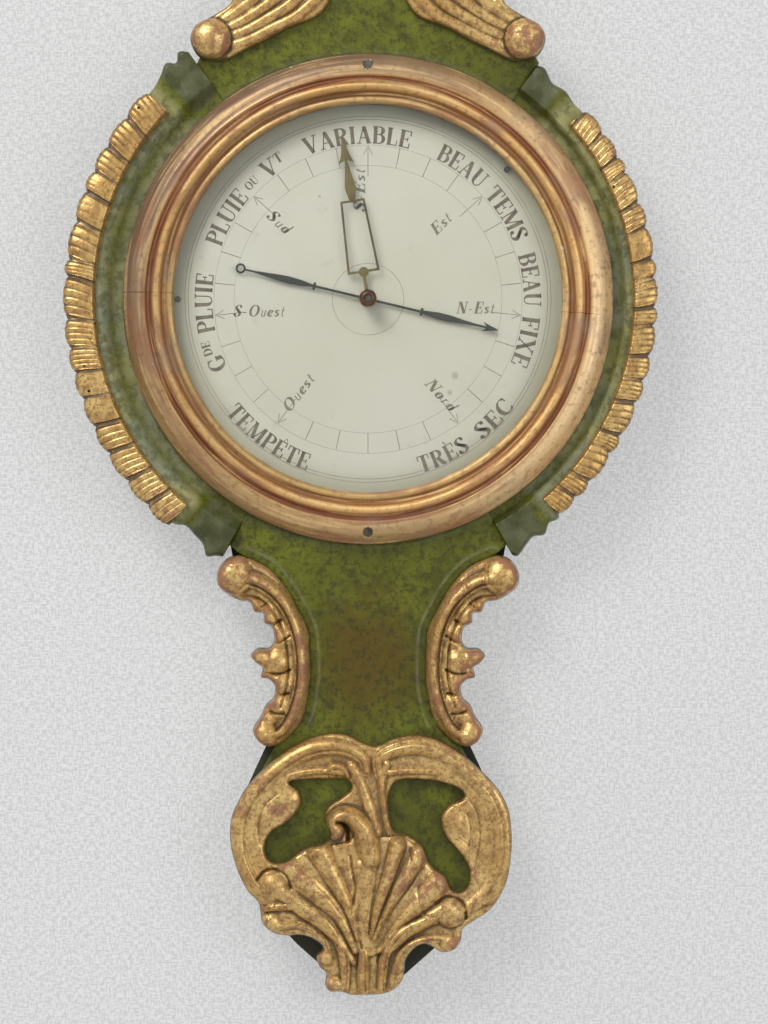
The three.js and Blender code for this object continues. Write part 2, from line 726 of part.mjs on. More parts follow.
add(
  "rocker_short_arm",
  cut(
    join(
      axleZ(HUB_R, rockerX, rockerD, -5.6, -3.9),
      box(pinX - 0.6, rockerX, rockerD - 0.6, rockerD + 0.6, -5.6, -3.9),
      axleZ(0.6, pinX, rockerD, -4.2, -1.4),
    ),
    armBore(),
  ),
  steel,
);
const DRUM_R = 1.2;
const chainZ = -DRUM_R - 0.2;
add("arbor_chain", box(0, rockerX, chainD, chainD + 0.8, chainZ - 0.5, chainZ), steel);
add("arbor_drum", ring(ARBOR_R + 0.15, DRUM_R, drumBack, drumFront, 0, 0, 16), brass);
add("indicator_arbor", rod(ARBOR_R, lowBridgeBack, arborFront, 0, 0, 16), steel);

// A strap over the movement that carries one end of the arbor, on two legs.
function bridge(back, front, legBack) {
  return cut(
    join(
      box(-4, 4, back, front, -30, 30),
      ...[-1, 1].map((s) => rod(2, legBack, back + 0.5, 0, s * 27.5, 12)),
    ),
    rod(ARBOR_R + GAP, back - 1, front + 1),
  );
}
add("lower_bridge", bridge(lowBridgeBack, lowBridgeFront, baseFront + GAP), brass);
add("upper_bridge", bridge(topBridgeBack, topBridgeFront, lowBridgeFront + GAP), brass);

// The hairspring is a flat strip wound in a spiral round the arbor.
const HAIR_TURNS = 3;
const hairSteps = 36;
const spiral = (offset) =>
  Array.from({ length: hairSteps + 1 }, (_, i) => {
    const a = (i / hairSteps) * HAIR_TURNS * 2 * Math.PI;
    const r = ARBOR_R + GAP + 0.3 + (i / hairSteps) * 6 + offset;
    return [r * Math.cos(a), r * Math.sin(a)];
  });
add("hairspring", plate(shapeOf([...spiral(0.5), ...spiral(0).reverse()]), hairBack, hairBack + 0.6), steel);

// ---------------------------------------------------------------- rear cover, its screws and the calibration screw
add(
  "rear_cover",
  cut(
    rod(coverR, 0, COVER_T, 0, 0, FACETS),
    rod(5, -1, COVER_T + 2, ...screwAt, 16),
    ...COVER_SCREWS.flatMap(([x, z]) => [rod(1.6, -1, COVER_T + 2, x, z, 12), rod(3.2, -1, 1.8, x, z, 12)]),
  ),
  brass,
);
for (const [i, [x, z]] of COVER_SCREWS.entries()) {
  add(
    `rear_cover_screw_${i + 1}`,
    join(rod(1.3, 0.8, 12, x, z, 12), rod(2.9, 0.5, 1.5, x, z, 12)),
    steel,
  );
}
add(
  "calibration_screw",
  cut(
    join(rod(3.5, 1.2, baseBack - GAP, ...screwAt, 16), rod(2, 2, baseFront + 2, ...screwAt, 12)),
    box(screwAt[0] - 5, screwAt[0] + 5, 0, 2, screwAt[1] - 0.4, screwAt[1] + 0.4),
  ),
  brass,
);

// ---------------------------------------------------------------- hanging ring and its plate
const RING_R = 11;
const RING_WIRE = 1.5;
const EYE_HALF = 3; // half the length of wire that lies in the eye
const eyeZ = UPPER_LENGTH - 4;
const eyeHole = RING_WIRE + 0.7;
const ringD = HANGER.t + eyeHole;
const plateTop = hangerZ + HANGER.h / 2;
const HANGER_SCREW_X = 7;
add(
  "hanger_plate",
  cut(
    join(
      box(-HANGER.w / 2, HANGER.w / 2, 0.2, HANGER.t, hangerZ - HANGER.h / 2, plateTop),
      box(-EYE_HALF, EYE_HALF, 0.2, HANGER.t, plateTop - 1, eyeZ + 3.8),
      box(-EYE_HALF, EYE_HALF, 0.2, ringD + eyeHole + 1.6, eyeZ - 3.8, eyeZ + 3.8),
    ),
    box(-EYE_HALF - 1, EYE_HALF + 1, ringD - eyeHole, ringD + eyeHole, eyeZ - eyeHole, eyeZ + eyeHole),
    ...[-1, 1].flatMap((s) => [
      rod(1.6, -1, HANGER.t + 1, s * HANGER_SCREW_X, hangerZ, 12),
      rod(3.1, -1, 1.3, s * HANGER_SCREW_X, hangerZ, 12),
    ]),
  ),
  steel,
);
for (const [name, s] of [["left", -1], ["right", 1]]) {
  add(
    `hanger_screw_${name}`,
    join(
      rod(1.3, 0.5, 13, s * HANGER_SCREW_X, hangerZ, 12),
      rod(2.8, 0.2, 1, s * HANGER_SCREW_X, hangerZ, 12),
    ),
    steel,
  );
}
add(
  "hanging_ring",
  new THREE.TorusGeometry(RING_R, RING_WIRE, 8, 28).rotateX(Math.PI / 2).translate(0, -ringD, eyeZ + RING_R),
  steel,
);

export default barometer;
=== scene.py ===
"""Looks of a carved, painted and gilded wall barometer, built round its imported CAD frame.

Sizes are in millimetres until a mesh is made. A depth d is measured from the wall towards the viewer,
so y = -d.
"""

import json

import bmesh
import bpy
import numpy as np
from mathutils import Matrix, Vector


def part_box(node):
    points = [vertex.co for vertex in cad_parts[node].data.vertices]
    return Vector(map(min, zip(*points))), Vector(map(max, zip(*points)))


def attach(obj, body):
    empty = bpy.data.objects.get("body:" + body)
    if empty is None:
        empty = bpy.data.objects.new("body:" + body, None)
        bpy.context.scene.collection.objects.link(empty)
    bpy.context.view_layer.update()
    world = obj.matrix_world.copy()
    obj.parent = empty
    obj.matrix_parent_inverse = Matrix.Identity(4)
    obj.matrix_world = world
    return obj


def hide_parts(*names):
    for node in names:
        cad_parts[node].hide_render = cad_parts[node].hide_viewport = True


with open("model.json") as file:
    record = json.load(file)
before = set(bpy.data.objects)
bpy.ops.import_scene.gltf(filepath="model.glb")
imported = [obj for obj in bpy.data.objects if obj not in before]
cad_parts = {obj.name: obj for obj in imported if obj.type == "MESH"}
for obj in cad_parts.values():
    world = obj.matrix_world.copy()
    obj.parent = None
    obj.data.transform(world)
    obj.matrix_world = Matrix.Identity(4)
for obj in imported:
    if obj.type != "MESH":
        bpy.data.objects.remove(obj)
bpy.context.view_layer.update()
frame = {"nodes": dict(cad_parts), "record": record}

# ---------------------------------------------------------------- back board
# Dark stained softwood; everything else is glued or screwed on it.
class Paint:
    """Builds one node material. Apart from node and finish, each method returns the socket that it makes."""

    def __init__(self, name):
        self.material = bpy.data.materials.new(name)
        self.material.use_nodes = True
        self.tree = self.material.node_tree
        self.shader = self.tree.nodes["Principled BSDF"]
        self.place = self.node("ShaderNodeTexCoord").outputs["Object"]

    def node(self, kind, inputs=None, **settings):
        """A node with its inputs linked or set. This one returns the node itself."""
        made = self.tree.nodes.new(kind)
        for key, value in settings.items():
            setattr(made, key, value)
        for key, value in (inputs or {}).items():
            if isinstance(value, bpy.types.NodeSocket):
                self.tree.links.new(value, made.inputs[key])
            else:
                made.inputs[key].default_value = value
        return made

    def math(self, operation, a, b=0.0, clamp=False):
        return self.node("ShaderNodeMath", {0: a, 1: b}, operation=operation, use_clamp=clamp).outputs[0]

    def vector(self, operation, a, b=(0, 0, 0)):
        """Vector maths: a value for a length, a distance or a dot product, or else a vector."""
        made = self.node("ShaderNodeVectorMath", {0: a, 1: b}, operation=operation)
        return made.outputs["Value" if operation in ("LENGTH", "DISTANCE", "DOT_PRODUCT") else "Vector"]

    def stretch(self, scale):
        """Object coordinates, each times its own scale."""
        return self.vector("MULTIPLY", self.place, scale)

    def noise(self, scale, detail=4.0, place=None, rough=0.55):
        inputs = {"Vector": place or self.place, "Scale": scale, "Detail": detail, "Roughness": rough}
        return self.node("ShaderNodeTexNoise", inputs).outputs["Fac"]

    def cells(self, scale, feature="F1", place=None):
        inputs = {"Vector": place or self.place, "Scale": scale}
        return self.node("ShaderNodeTexVoronoi", inputs, feature=feature).outputs["Distance"]

    def attribute(self, name):
        return self.node("ShaderNodeAttribute", attribute_name=name).outputs["Fac"]

    def step(self, value, low, high, to_low=0.0, to_high=1.0):
        """Smoothstep from to_low at low to to_high at high."""
        inputs = {"Value": value, "From Min": low, "From Max": high, "To Min": to_low, "To Max": to_high}
        return self.node("ShaderNodeMapRange", inputs, interpolation_type="SMOOTHSTEP").outputs[0]

    def mix(self, factor, a, b, blend="MIX"):
        made = self.node("ShaderNodeMix", data_type="RGBA", blend_type=blend)
        for socket, value in ((made.inputs[0], factor), (made.inputs[6], a), (made.inputs[7], b)):
            if isinstance(value, bpy.types.NodeSocket):
                self.tree.links.new(value, socket)
            else:
                socket.default_value = value if isinstance(value, float) else (*value, 1)
        return made.outputs[2]

    def ramp(self, value, stops):
        made = self.node("ShaderNodeValToRGB", {"Fac": value})
        ramp = made.color_ramp
        while len(ramp.elements) < len(stops):
            ramp.elements.new(0.5)
        for element, (at, colour) in zip(ramp.elements, stops):
            element.position, element.color = at, (*colour, 1)
        return made.outputs["Color"]

    def bump(self, height, strength, distance=0.001, under=None):
        inputs = {"Height": height, "Strength": strength, "Distance": distance}
        if under is not None:
            inputs["Normal"] = under
        return self.node("ShaderNodeBump", inputs).outputs["Normal"]

    def finish(self, **inputs):
        """Sets the shader's inputs by short names and returns the material."""
        names = {"colour": "Base Color", "rough": "Roughness", "metal": "Metallic", "normal": "Normal",
                 "coat": "Coat Weight", "coat_rough": "Coat Roughness", "specular": "Specular IOR Level"}
        for key, value in inputs.items():
            socket = self.shader.inputs[names.get(key, key)]
            if isinstance(value, bpy.types.NodeSocket):
                self.tree.links.new(value, socket)
            else:
                socket.default_value = (*value, 1) if isinstance(value, tuple) else value
        return self.material


board_p = Paint("dark_board")
grain = board_p.noise(80, 5, board_p.stretch((1, 1, 0.05)), 0.6)
wear = board_p.step(board_p.noise(18, 4), 0.4, 0.7)
facing = board_p.node("ShaderNodeNewGeometry").outputs["True Normal"]
side = board_p.step(board_p.node("ShaderNodeSeparateXYZ", {0: facing}).outputs["Y"], 0.5, 0.9)
edge_colour = board_p.mix(wear, (0.026, 0.028, 0.015), (0.062, 0.058, 0.028))
back_colour = board_p.mix(board_p.step(grain, 0.3, 0.7), (0.22, 0.145, 0.080), (0.115, 0.070, 0.036))
frame["nodes"]["back_board"].data.materials.clear()
frame["nodes"]["back_board"].data.materials.append(
    board_p.finish(colour=board_p.mix(side, edge_colour, back_colour), rough=0.7,
                   normal=board_p.bump(grain, 0.2, 0.0006)))

# ---------------------------------------------------------------- seat ring, movement, hanger and fixings
# Turned pine rings behind the bezel, a brass movement on its plate, brass and steel plates and screws.
# They keep the meshes of the frame and get their materials by slot.
def metal(name, colour, dark, rough=0.35, metallic=1.0, scale=300):
    """Handled metal: a base colour under broad clouds of tarnish and fine scratches."""
    p = Paint(name)
    scratches = p.noise(scale, 4, p.stretch((1, 1, 0.25)))
    cloud = p.step(p.math("ADD", p.math("MULTIPLY", p.noise(scale * 0.12, 6, rough=0.65), 1.4),
                          p.math("MULTIPLY", scratches, 0.35)), 0.65, 1.15)
    return p.finish(colour=p.mix(cloud, colour, dark), metal=metallic,
                    rough=p.step(p.noise(scale * 2, 3), 0.3, 0.7, rough - 0.08, rough + 0.15))


def wood(name, pale, dark):
    """Bare old softwood with the grain upright."""
    p = Paint(name)
    grain = p.noise(90, 5, p.stretch((1, 1, 0.06)), 0.6)
    colour = p.mix(p.step(grain, 0.3, 0.7), pale, dark)
    colour = p.mix(p.step(p.noise(9, 3), 0.45, 0.75, 0.0, 0.5), colour, tuple(0.4 * c for c in dark))
    return p.finish(colour=colour, rough=0.75, normal=p.bump(grain, 0.25, 0.0006))


bare_wood = wood("bare_wood", (0.24, 0.16, 0.09), (0.13, 0.08, 0.04))
brass = metal("tarnished_brass", (0.50, 0.37, 0.15), (0.22, 0.15, 0.06))
steel = metal("dull_steel", (0.36, 0.35, 0.33), (0.16, 0.14, 0.12))
for node_name, item in frame["nodes"].items():
    slot = next(s["material_slot"] for s in frame["record"]["subparts"] if s["node"] == node_name)
    chosen = {"bare_wood": bare_wood, "brass": brass, "steel": steel}.get(slot)
    if chosen and node_name != "back_board":
        item.data.materials.clear()
        item.data.materials.append(chosen)

# ---------------------------------------------------------------- painted wings
# Pine side pieces with a hollow moulding, painted green; glued on the board on each side of the bezel.
def box_mm(node):
    """Lowest and highest (x, depth, z) of a CAD node, in millimetres."""
    low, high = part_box(node)
    return (low.x * 1000, -high.y * 1000, low.z * 1000), (high.x * 1000, -low.y * 1000, high.z * 1000)


def make_piece(name, points, faces, material, body="case", attributes=None, smooth=40):
    """Mesh object from (x, depth, z) rows in millimetres; faces is an (n, 4) array or a list of tuples."""
    points = np.asarray(points, float)
    mesh = bpy.data.meshes.new(name)
    if isinstance(faces, np.ndarray):
        count, sides = faces.shape
        mesh.vertices.add(len(points))
        mesh.vertices.foreach_set("co", (points * [1, -1, 1] * 0.001).astype(np.float32).ravel())
        mesh.loops.add(count * sides)
        mesh.loops.foreach_set("vertex_index", faces.astype(np.int32).ravel())
        mesh.polygons.add(count)
        mesh.polygons.foreach_set("loop_start", (np.arange(count) * sides).astype(np.int32))
    else:
        mesh.from_pydata((points * [1, -1, 1] * 0.001).tolist(), [], faces)
    mesh.update(calc_edges=True)
    for key, values in (attributes or {}).items():
        mesh.attributes.new(key, "FLOAT", "POINT").data.foreach_set("value", np.asarray(values, np.float32))
    bm = bmesh.new()
    bm.from_mesh(mesh)
    open_edges = [e for e in bm.edges if len(e.link_faces) == 1]
    if open_edges:
        bmesh.ops.triangle_fill(bm, use_beauty=False, edges=open_edges)
    bmesh.ops.recalc_face_normals(bm, faces=bm.faces)
    bm.to_mesh(mesh)
    bm.free()
    mesh.polygons.foreach_set("use_smooth", np.ones(len(mesh.polygons), bool))
    mesh.set_sharp_from_angle(angle=np.radians(smooth))
    mesh.materials.append(material)
    piece = bpy.data.objects.new(name, mesh)
    bpy.context.scene.collection.objects.link(piece)
    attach(piece, body)
    return piece


def spline(points, per=10, closed=False):
    """Catmull-Rom curve through rows of any width: q(t) = (a + bt + ct^2 + dt^3) / 2 on each span."""
    p = np.asarray(points, float)
    if closed:
        p = np.vstack([p[-1], p, p[:2]])
    else:
        p = np.vstack([2 * p[0] - p[1], p, 2 * p[-1] - p[-2]])
    t = np.linspace(0, 1, per, endpoint=False)[None, :, None]
    p0, p1, p2, p3 = (p[i : len(p) - 3 + i, None, :] for i in range(4))
    q = 0.5 * (2 * p1 + (p2 - p0) * t + (2 * p0 - 5 * p1 + 4 * p2 - p3) * t**2 + (3 * p1 - p0 - 3 * p2 + p3)
               * t**3)
    q = q.reshape(-1, p.shape[1])
    return q if closed else np.vstack([q, p[-2]])


def swept(name, sections, material, closed=False, attributes=None, **more):
    """Solid from an (m, n, 3) array: m stations on a path, each a closed ring of n (x, depth, z) points."""
    m, n, _ = sections.shape
    number = np.arange(m * n).reshape(m, n)
    if closed:
        number = np.vstack([number, number[:1]])
    a, b = number[:-1], number[1:]
    quads = np.stack([a, b, np.roll(b, -1, 1), np.roll(a, -1, 1)], -1).reshape(-1, 4)
    return make_piece(name, sections.reshape(-1, 3), quads, material, attributes=attributes, **more)


def green_paint(name):
    """Old green oil paint under wax: olive clouds, brown patina, fine dirt and chips; where the attribute is
    positive, pale blue-grey dust and painted sheen, and where it is negative, a darker grey-green.
    """
    p = Paint(name)
    clouds = p.noise(11, 5, rough=0.6)
    colour = p.mix(p.step(clouds, 0.36, 0.62), (0.098, 0.104, 0.005), (0.150, 0.165, 0.007))
    colour = p.mix(p.step(p.noise(85, 7, rough=0.75), 0.44, 0.62, 0.0, 0.75), colour, (0.060, 0.062, 0.005))
    patch = p.vector("DISTANCE", p.stretch((1, 0, 0.8)), (0, 0, -0.186))
    ragged = p.math("ADD", patch, p.math("MULTIPLY", p.noise(70, 6, rough=0.7), 0.05))
    colour = p.mix(p.step(ragged, 0.075, 0.034, 0.0, 0.8), colour, (0.102, 0.060, 0.003))
    colour = p.mix(p.step(p.noise(260, 4, rough=0.7), 0.48, 0.62, 0.0, 0.65), colour, (0.036, 0.036, 0.006))
    # The attribute mixes in pale blue-grey where it is positive: partly dust, partly painted sheen. Where it is
    # negative the paint turns a darker grey-green.
    dust_sheen_and_darkening = p.attribute("dust_sheen_and_darkening")
    dust_and_sheen_cover = p.math("MULTIPLY", dust_sheen_and_darkening, p.step(p.noise(34, 6, rough=0.7), 0.30, 0.62, 0.55, 1.0))
    dust_and_sheen_colour = p.mix(p.step(p.noise(20, 4), 0.42, 0.6), (0.330, 0.315, 0.135), (0.250, 0.265, 0.180))
    dust_and_sheen_colour = p.mix(p.step(p.noise(120, 5, rough=0.7), 0.46, 0.60, 0.0, 0.7), dust_and_sheen_colour, (0.100, 0.102, 0.042))
    colour = p.mix(dust_and_sheen_cover, colour, dust_and_sheen_colour)
    # Darker grey-green where the attribute is negative, on the wing shoulders past the bands.
    shoulder_darker_colour = p.mix(p.step(p.noise(55, 5), 0.4, 0.6), (0.050, 0.056, 0.020), (0.105, 0.110, 0.055))
    colour = p.mix(p.step(dust_sheen_and_darkening, 0.0, -0.8, 0.0, 0.85), colour, shoulder_darker_colour)
    chip = p.math("MULTIPLY", p.step(p.cells(46), 0.10, 0.07), p.step(p.noise(12, 2), 0.60, 0.64))
    colour = p.mix(chip, colour, (0.55, 0.56, 0.42))
    normal = p.bump(p.noise(60, 4), 0.40, 0.0014)
    normal = p.bump(p.noise(500, 2), 0.2, 0.0003, normal)
    return p.finish(colour=colour, normal=normal,
                    rough=p.step(p.math("ADD", clouds, dust_and_sheen_cover), 0.3, 1.2, 0.40, 0.72), specular=0.32)


green = green_paint("green_paint")
BEZEL_R = box_mm("bezel_ring")[1][0]
WING_BACK = box_mm("wing_left")[0][1]
RIM = box_mm("wing_left")[1][1]
PANEL = box_mm("lower_neck_panel")[1][1]
SIDES = {"left": (-1, 174.5, 195.5), "right": (1, 169.5, 186.0)}
SHOULDERS = {  # outer edge past the bands: degrees from straight up, radius
    "left": [(36, 197), (37.5, 200.5), (39, 196), (40.6, 200), (43, 196), (47, 193), (60, 192), (90, 192),
             (120, 192), (137, 192), (141, 187), (143.5, 188), (146, 190), (147.8, 195), (149.2, 192),
             (150.5, 190)],
    "right": [(36, 186), (37.5, 187), (40.4, 183), (43.6, 184.5), (47, 182.5), (52, 183), (90, 183),
              (120, 183), (136, 183), (139, 186.5), (141, 185), (143.1, 189), (145, 186), (147, 187.5),
              (149.6, 191), (150.5, 189)],
}
for name, (sign, band_in, band_out) in SIDES.items():
    table = np.array(SHOULDERS[name])
    angles = np.linspace(36.03, 150.47, 520)
    outer = np.interp(angles, *spline(table, 6).T)
    t = np.linspace(0, 1, 46)[None, :]
    inner_r = BEZEL_R + 0.3
    r = inner_r + (outer[:, None] - inner_r) * t
    rise = np.clip((r - inner_r - 4) / (band_in - inner_r - 7), 0, 1)
    d = PANEL - 1.6 + (RIM - PANEL + 1.4) * (1 - np.cos(np.pi * rise / 2) ** 1.2)
    past = np.maximum(np.clip((46 - angles) / 4, 0, 1), np.clip((angles - 139) / 4, 0, 1))[:, None]
    lobes = 1.5 * np.abs(np.sin(np.radians(angles[:, None] - 36) * 36 + 0.05 * (r - 180)))
    d = d - past * np.clip((r - band_in) / 10, 0, 1) * (2.0 - lobes)
    left_over = np.clip((outer[:, None] - r) / 3.5, 0, 1)
    d = d - (RIM - WING_BACK) * 0.35 * (1 - np.sqrt(1 - (1 - left_over) ** 2))
    front = np.stack([sign * r * np.sin(np.radians(angles))[:, None], d,
                      r * np.cos(np.radians(angles))[:, None]], -1)
    foot = front[:, ::-1].copy()
    foot[..., 1] = WING_BACK
    ring = np.concatenate([front, foot[:, [0, -1]]], 1)
    # Dust and painted sheen grow up the hollow towards the rim and lie along the bezel. Past the bands the
    # values go negative, which paints the shoulders darker.
    dust_sheen_and_darkening = (0.25 + 0.75 * np.clip((rise - 0.40) / 0.4, 0, 1)) * (1 - past) - 0.75 * past
    dust_sheen_and_darkening = np.maximum(dust_sheen_and_darkening, np.clip(1.15 - (r - inner_r) / 9, 0, 0.95) - past)
    dust_sheen_and_darkening = np.concatenate([dust_sheen_and_darkening, np.zeros((len(angles), 2))], 1)
    wing = swept(f"wing_{name}_painted", ring, green, attributes={"dust_sheen_and_darkening": dust_sheen_and_darkening.ravel()}, smooth=50)
    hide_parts(f"wing_{name}")

# ---------------------------------------------------------------- gilded bands
# Carved husks that overlap like scales along each wing's rim, gilded, glued on.
GOLD_BRIGHT = (0.78, 0.53, 0.20)
GOLD = (0.63, 0.38, 0.125)
GOLD_DULL = (0.40, 0.22, 0.08)
GOLD_DARK = (0.22, 0.11, 0.04)
BOLE = (0.245, 0.085, 0.045)
BOLE_PALE = (0.36, 0.155, 0.090)
GRIME = (0.085, 0.050, 0.020)
GESSO = (0.62, 0.55, 0.42)


def gilding(name, seed=0.0, redness=0.5, gleam=0.5):
    """Water gilding over red bole: leaf on the flats, bole on rubbed crests, grime in the recesses."""
    p = Paint(name)
    place = p.vector("ADD", p.place, (seed, seed, seed))
    high = p.attribute("high")
    broad = p.noise(16, 3, place)
    fine = p.noise(150, 6, place, 0.68)
    grain = p.noise(430, 5, place, 0.75)
    leaf = p.mix(p.step(broad, 0.34, 0.66), GOLD, GOLD_BRIGHT)
    leaf = p.mix(p.step(fine, 0.44, 0.60, 0.0, 0.75), leaf, GOLD_DULL)
    leaf = p.mix(p.step(grain, 0.50, 0.62, 0.0, 0.7), leaf, GOLD_DARK)
    rubbed = p.math("ADD", p.math("MULTIPLY", high, 0.13),
                    p.math("ADD", p.math("MULTIPLY", fine, 0.8), broad))
    bare = p.step(rubbed, 1.12 - 0.12 * redness, 1.26 - 0.12 * redness, 0.0, 0.8)
    colour = p.mix(bare, leaf, p.mix(p.step(grain, 0.4, 0.6), BOLE, BOLE_PALE))
    dirty = p.step(p.math("ADD", high, p.math("MULTIPLY", fine, -0.8)), -0.35, -1.5, 0.0, 0.9)
    colour = p.mix(dirty, colour, GRIME)
    squash = p.vector("MULTIPLY", place, (1, 1, 0.5))
    crack = p.cells(120, "DISTANCE_TO_EDGE", squash)
    line = p.math("MULTIPLY", p.step(crack, 0.03, 0.0), p.step(p.noise(26, 2, place), 0.52, 0.66, 0.0, 0.6))
    colour = p.mix(line, colour, GRIME)
    hole = p.math("MULTIPLY", p.step(p.cells(70, place=place), 0.085, 0.055),
                  p.step(p.noise(10, 1, place), 0.55, 0.6))
    colour = p.mix(hole, colour, (0.02, 0.012, 0.008))
    shine = p.math("SUBTRACT", 1.0, p.math("MAXIMUM", bare, dirty))
    normal = p.bump(grain, 0.25, 0.0003)
    normal = p.bump(p.noise(75, 4, place), 0.45, 0.0012, normal)
    normal = p.bump(p.math("SUBTRACT", 1.0, p.math("MAXIMUM", line, hole)), 0.5, 0.0004, normal)
    return p.finish(colour=colour, metal=p.math("MULTIPLY", shine, gleam), normal=normal,
                    rough=p.step(p.math("ADD", fine, bare), 0.3, 1.2, 0.30, 0.66))


gilt_band = gilding("gilding_bands", 5.7, -0.2, 0.70)
BAND_BACK, BAND_TOP = box_mm("gilt_band_left")[0][1], box_mm("gilt_band_left")[1][1]
rng = np.random.default_rng(7)
for name, (sign, band_in, band_out) in SIDES.items():
    first, last, husks = (47.0, 138.8, 16) if name == "left" else (49.2, 138.8, 17)
    count = 1900
    angles = np.linspace(first, last, count)
    joints = np.linspace(first, last, husks + 1)
    joints[1:-1] += rng.uniform(-1.5, 1.5, husks - 1)
    place = np.interp(angles, joints, np.arange(husks + 1))
    t = np.linspace(0, 1, 34)
    u = place[:, None] + 0.22 * (t[None, :] ** 1.5 - 0.4)
    which = np.clip(np.floor(u).astype(int) + 1, 0, husks + 2)
    part = u - np.floor(u)
    lift = rng.uniform(0.86, 1.0, husks + 3)[which]
    pleats = rng.integers(4, 6, husks + 3)[which]
    plain = np.isin(which, (4, 5, 11, 12) if name == "left" else (6, 7))
    bend = part + 0.07 * np.sin(np.pi * t)[None, :]
    ripple = np.abs(np.sin(np.pi * pleats * bend))
    scallop = np.sqrt(np.abs(np.sin(np.pi * (place - np.floor(place)) * 0.96 + 0.06)))
    small = np.abs(np.sin(np.pi * 4.5 * (place - np.floor(place))))
    edge_r = band_out - 4.2 + 3.7 * scallop + 0.45 * small
    r = band_in + (edge_r[:, None] - band_in) * t[None, :]
    arch = np.clip(t / 0.10, 0, 1) ** 0.5 * (1 - 0.30 * np.clip((t - 0.45) / 0.55, 0, 1) ** 2)
    arch = arch * np.sqrt(np.clip((1.02 - t) / 0.12, 0, 1))
    h = (BAND_TOP - BAND_BACK) * arch[None, :] * lift * (0.93 + 0.07 * np.sin(np.pi * part) ** 0.4)
    h = h - 1.5 * (1 - part) ** 1.4 * (0.35 + 0.65 * t[None, :])
    h = h - np.where(plain, 0.04, 0.62) * (1 - ripple) ** 2.0 * (0.45 + 0.55 * t[None, :])
    h = np.clip(h, 0.6, BAND_TOP - BAND_BACK)
    shift = count // 150
    high = h - (np.roll(h, shift, 0) + np.roll(h, -shift, 0) + np.roll(h, 2 * shift, 0)
                + np.roll(h, -2 * shift, 0) + h) / 5
    front = np.stack([sign * r * np.sin(np.radians(angles))[:, None], BAND_BACK + h,
                      r * np.cos(np.radians(angles))[:, None]], -1)
    foot = front[:, ::-1].copy()
    foot[..., 1] = BAND_BACK
    ring = np.concatenate([front, foot[:, [0, -1]]], 1)
    worn = np.concatenate([high * 2.6 - 0.5 * (t > 0.93), np.full((count, 2), -0.9)], 1)
    band = swept(f"gilt_band_{name}_carved", ring, gilt_band, attributes={"high": worn.ravel()}, smooth=60)
    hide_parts(f"gilt_band_{name}")

# ---------------------------------------------------------------- bezel
# Turned pine moulding, gilded over red bole. Two screws, in dimples at the top and the bottom, hold it to
# the seat ring.
def polar(r, degrees):
    """x and z at an angle clockwise from straight up."""
    a = np.radians(degrees)
    return r * np.sin(a), r * np.cos(a)


BEZEL_BACK, BEZEL_TOP = box_mm("bezel_ring")[0][1], box_mm("bezel_ring")[1][1]
profile = spline([
    (124.3, 42.6), (124.3, 44.4), (125.2, 46.2), (126.9, 47.0), (128.6, 46.5), (129.8, 45.3), (131.0, 45.0),
    (132.0, 45.6), (132.6, 47.2), (133.6, 49.2), (135.4, 50.3), (137.4, 49.7), (138.7, 47.9), (139.4, 46.1),
    (140.5, 45.1), (141.6, 45.2), (142.2, 46.4), (143.2, 47.1), (144.3, 46.8), (145.6, 46.5), (148.0, 46.2),
    (151.0, 44.6), (153.6, 42.0), (155.6, 39.8), (156.9, 38.4), (157.3, 37.2)], 4)
profile = np.vstack([profile, [(BEZEL_R, BEZEL_BACK), (129.7, BEZEL_BACK), (129.7, 42.3), (124.3, 42.3)]])
profile[:, 1] = np.minimum(profile[:, 1], BEZEL_TOP)
near_screws = np.concatenate([np.arange(-2.0, 2.01, 0.25) % 360, np.arange(178, 182.01, 0.25)])
angles = np.union1d(np.linspace(0, 360, 360, endpoint=False), near_screws)
bx, bz = polar(profile[None, :, 0], angles[:, None])
depth = np.broadcast_to(profile[:, 1], bx.shape)
SCREW_AT = 149.8
holes = np.hypot(bx, np.abs(bz) - SCREW_AT) < 3.15
sections = np.stack([bx, np.where(holes & (depth > 42.4), 42.4, depth), bz], -1)
p = Paint("gilding_bezel")
flat = p.stretch((1, 0, 1))
radius = p.vector("LENGTH", flat)
way = p.vector("NORMALIZE", flat)
along = p.vector("MULTIPLY", way, (2.2, 2.2, 2.2))
spiral = p.node("ShaderNodeCombineXYZ", {"Y": p.math("MULTIPLY", radius, 420.0)}).outputs[0]
streak = p.noise(1.0, 4, p.vector("ADD", along, spiral))
broad_spiral = p.node("ShaderNodeCombineXYZ", {"Y": p.math("MULTIPLY", radius, 90.0)}).outputs[0]
wide = p.noise(1.3, 3, p.vector("ADD", along, broad_spiral))
span = p.step(radius, 0.1243, 0.1573)
span.node.interpolation_type = "LINEAR"
colour = p.ramp(span, [
    (0.00, (0.46, 0.28, 0.10)), (0.10, (0.68, 0.45, 0.18)), (0.16, (0.28, 0.15, 0.06)),
    (0.22, (0.32, 0.15, 0.06)), (0.27, (0.68, 0.38, 0.13)), (0.36, (0.82, 0.50, 0.19)),
    (0.42, (0.55, 0.27, 0.10)), (0.46, (0.30, 0.11, 0.05)), (0.52, (0.33, 0.13, 0.065)),
    (0.56, (0.58, 0.34, 0.14)), (0.62, (0.60, 0.38, 0.17)), (0.80, (0.58, 0.37, 0.17)),
    (0.92, (0.52, 0.32, 0.14)), (1.00, (0.28, 0.17, 0.07))])
# Painted reflection: the outer band turns lilac-grey on its upper left, as if it reflected cool light from
# there.
angle = p.vector("DOT_PRODUCT", way, (-0.64, 0.0, 0.77))
outer_band = p.step(span, 0.55, 0.65)
painted_reflection = p.math("MULTIPLY", p.math("MULTIPLY", p.step(angle, 0.15, 0.85), outer_band),
              p.step(wide, 0.35, 0.6, 0.55, 0.95))
colour = p.mix(painted_reflection, colour, (0.29, 0.195, 0.140))
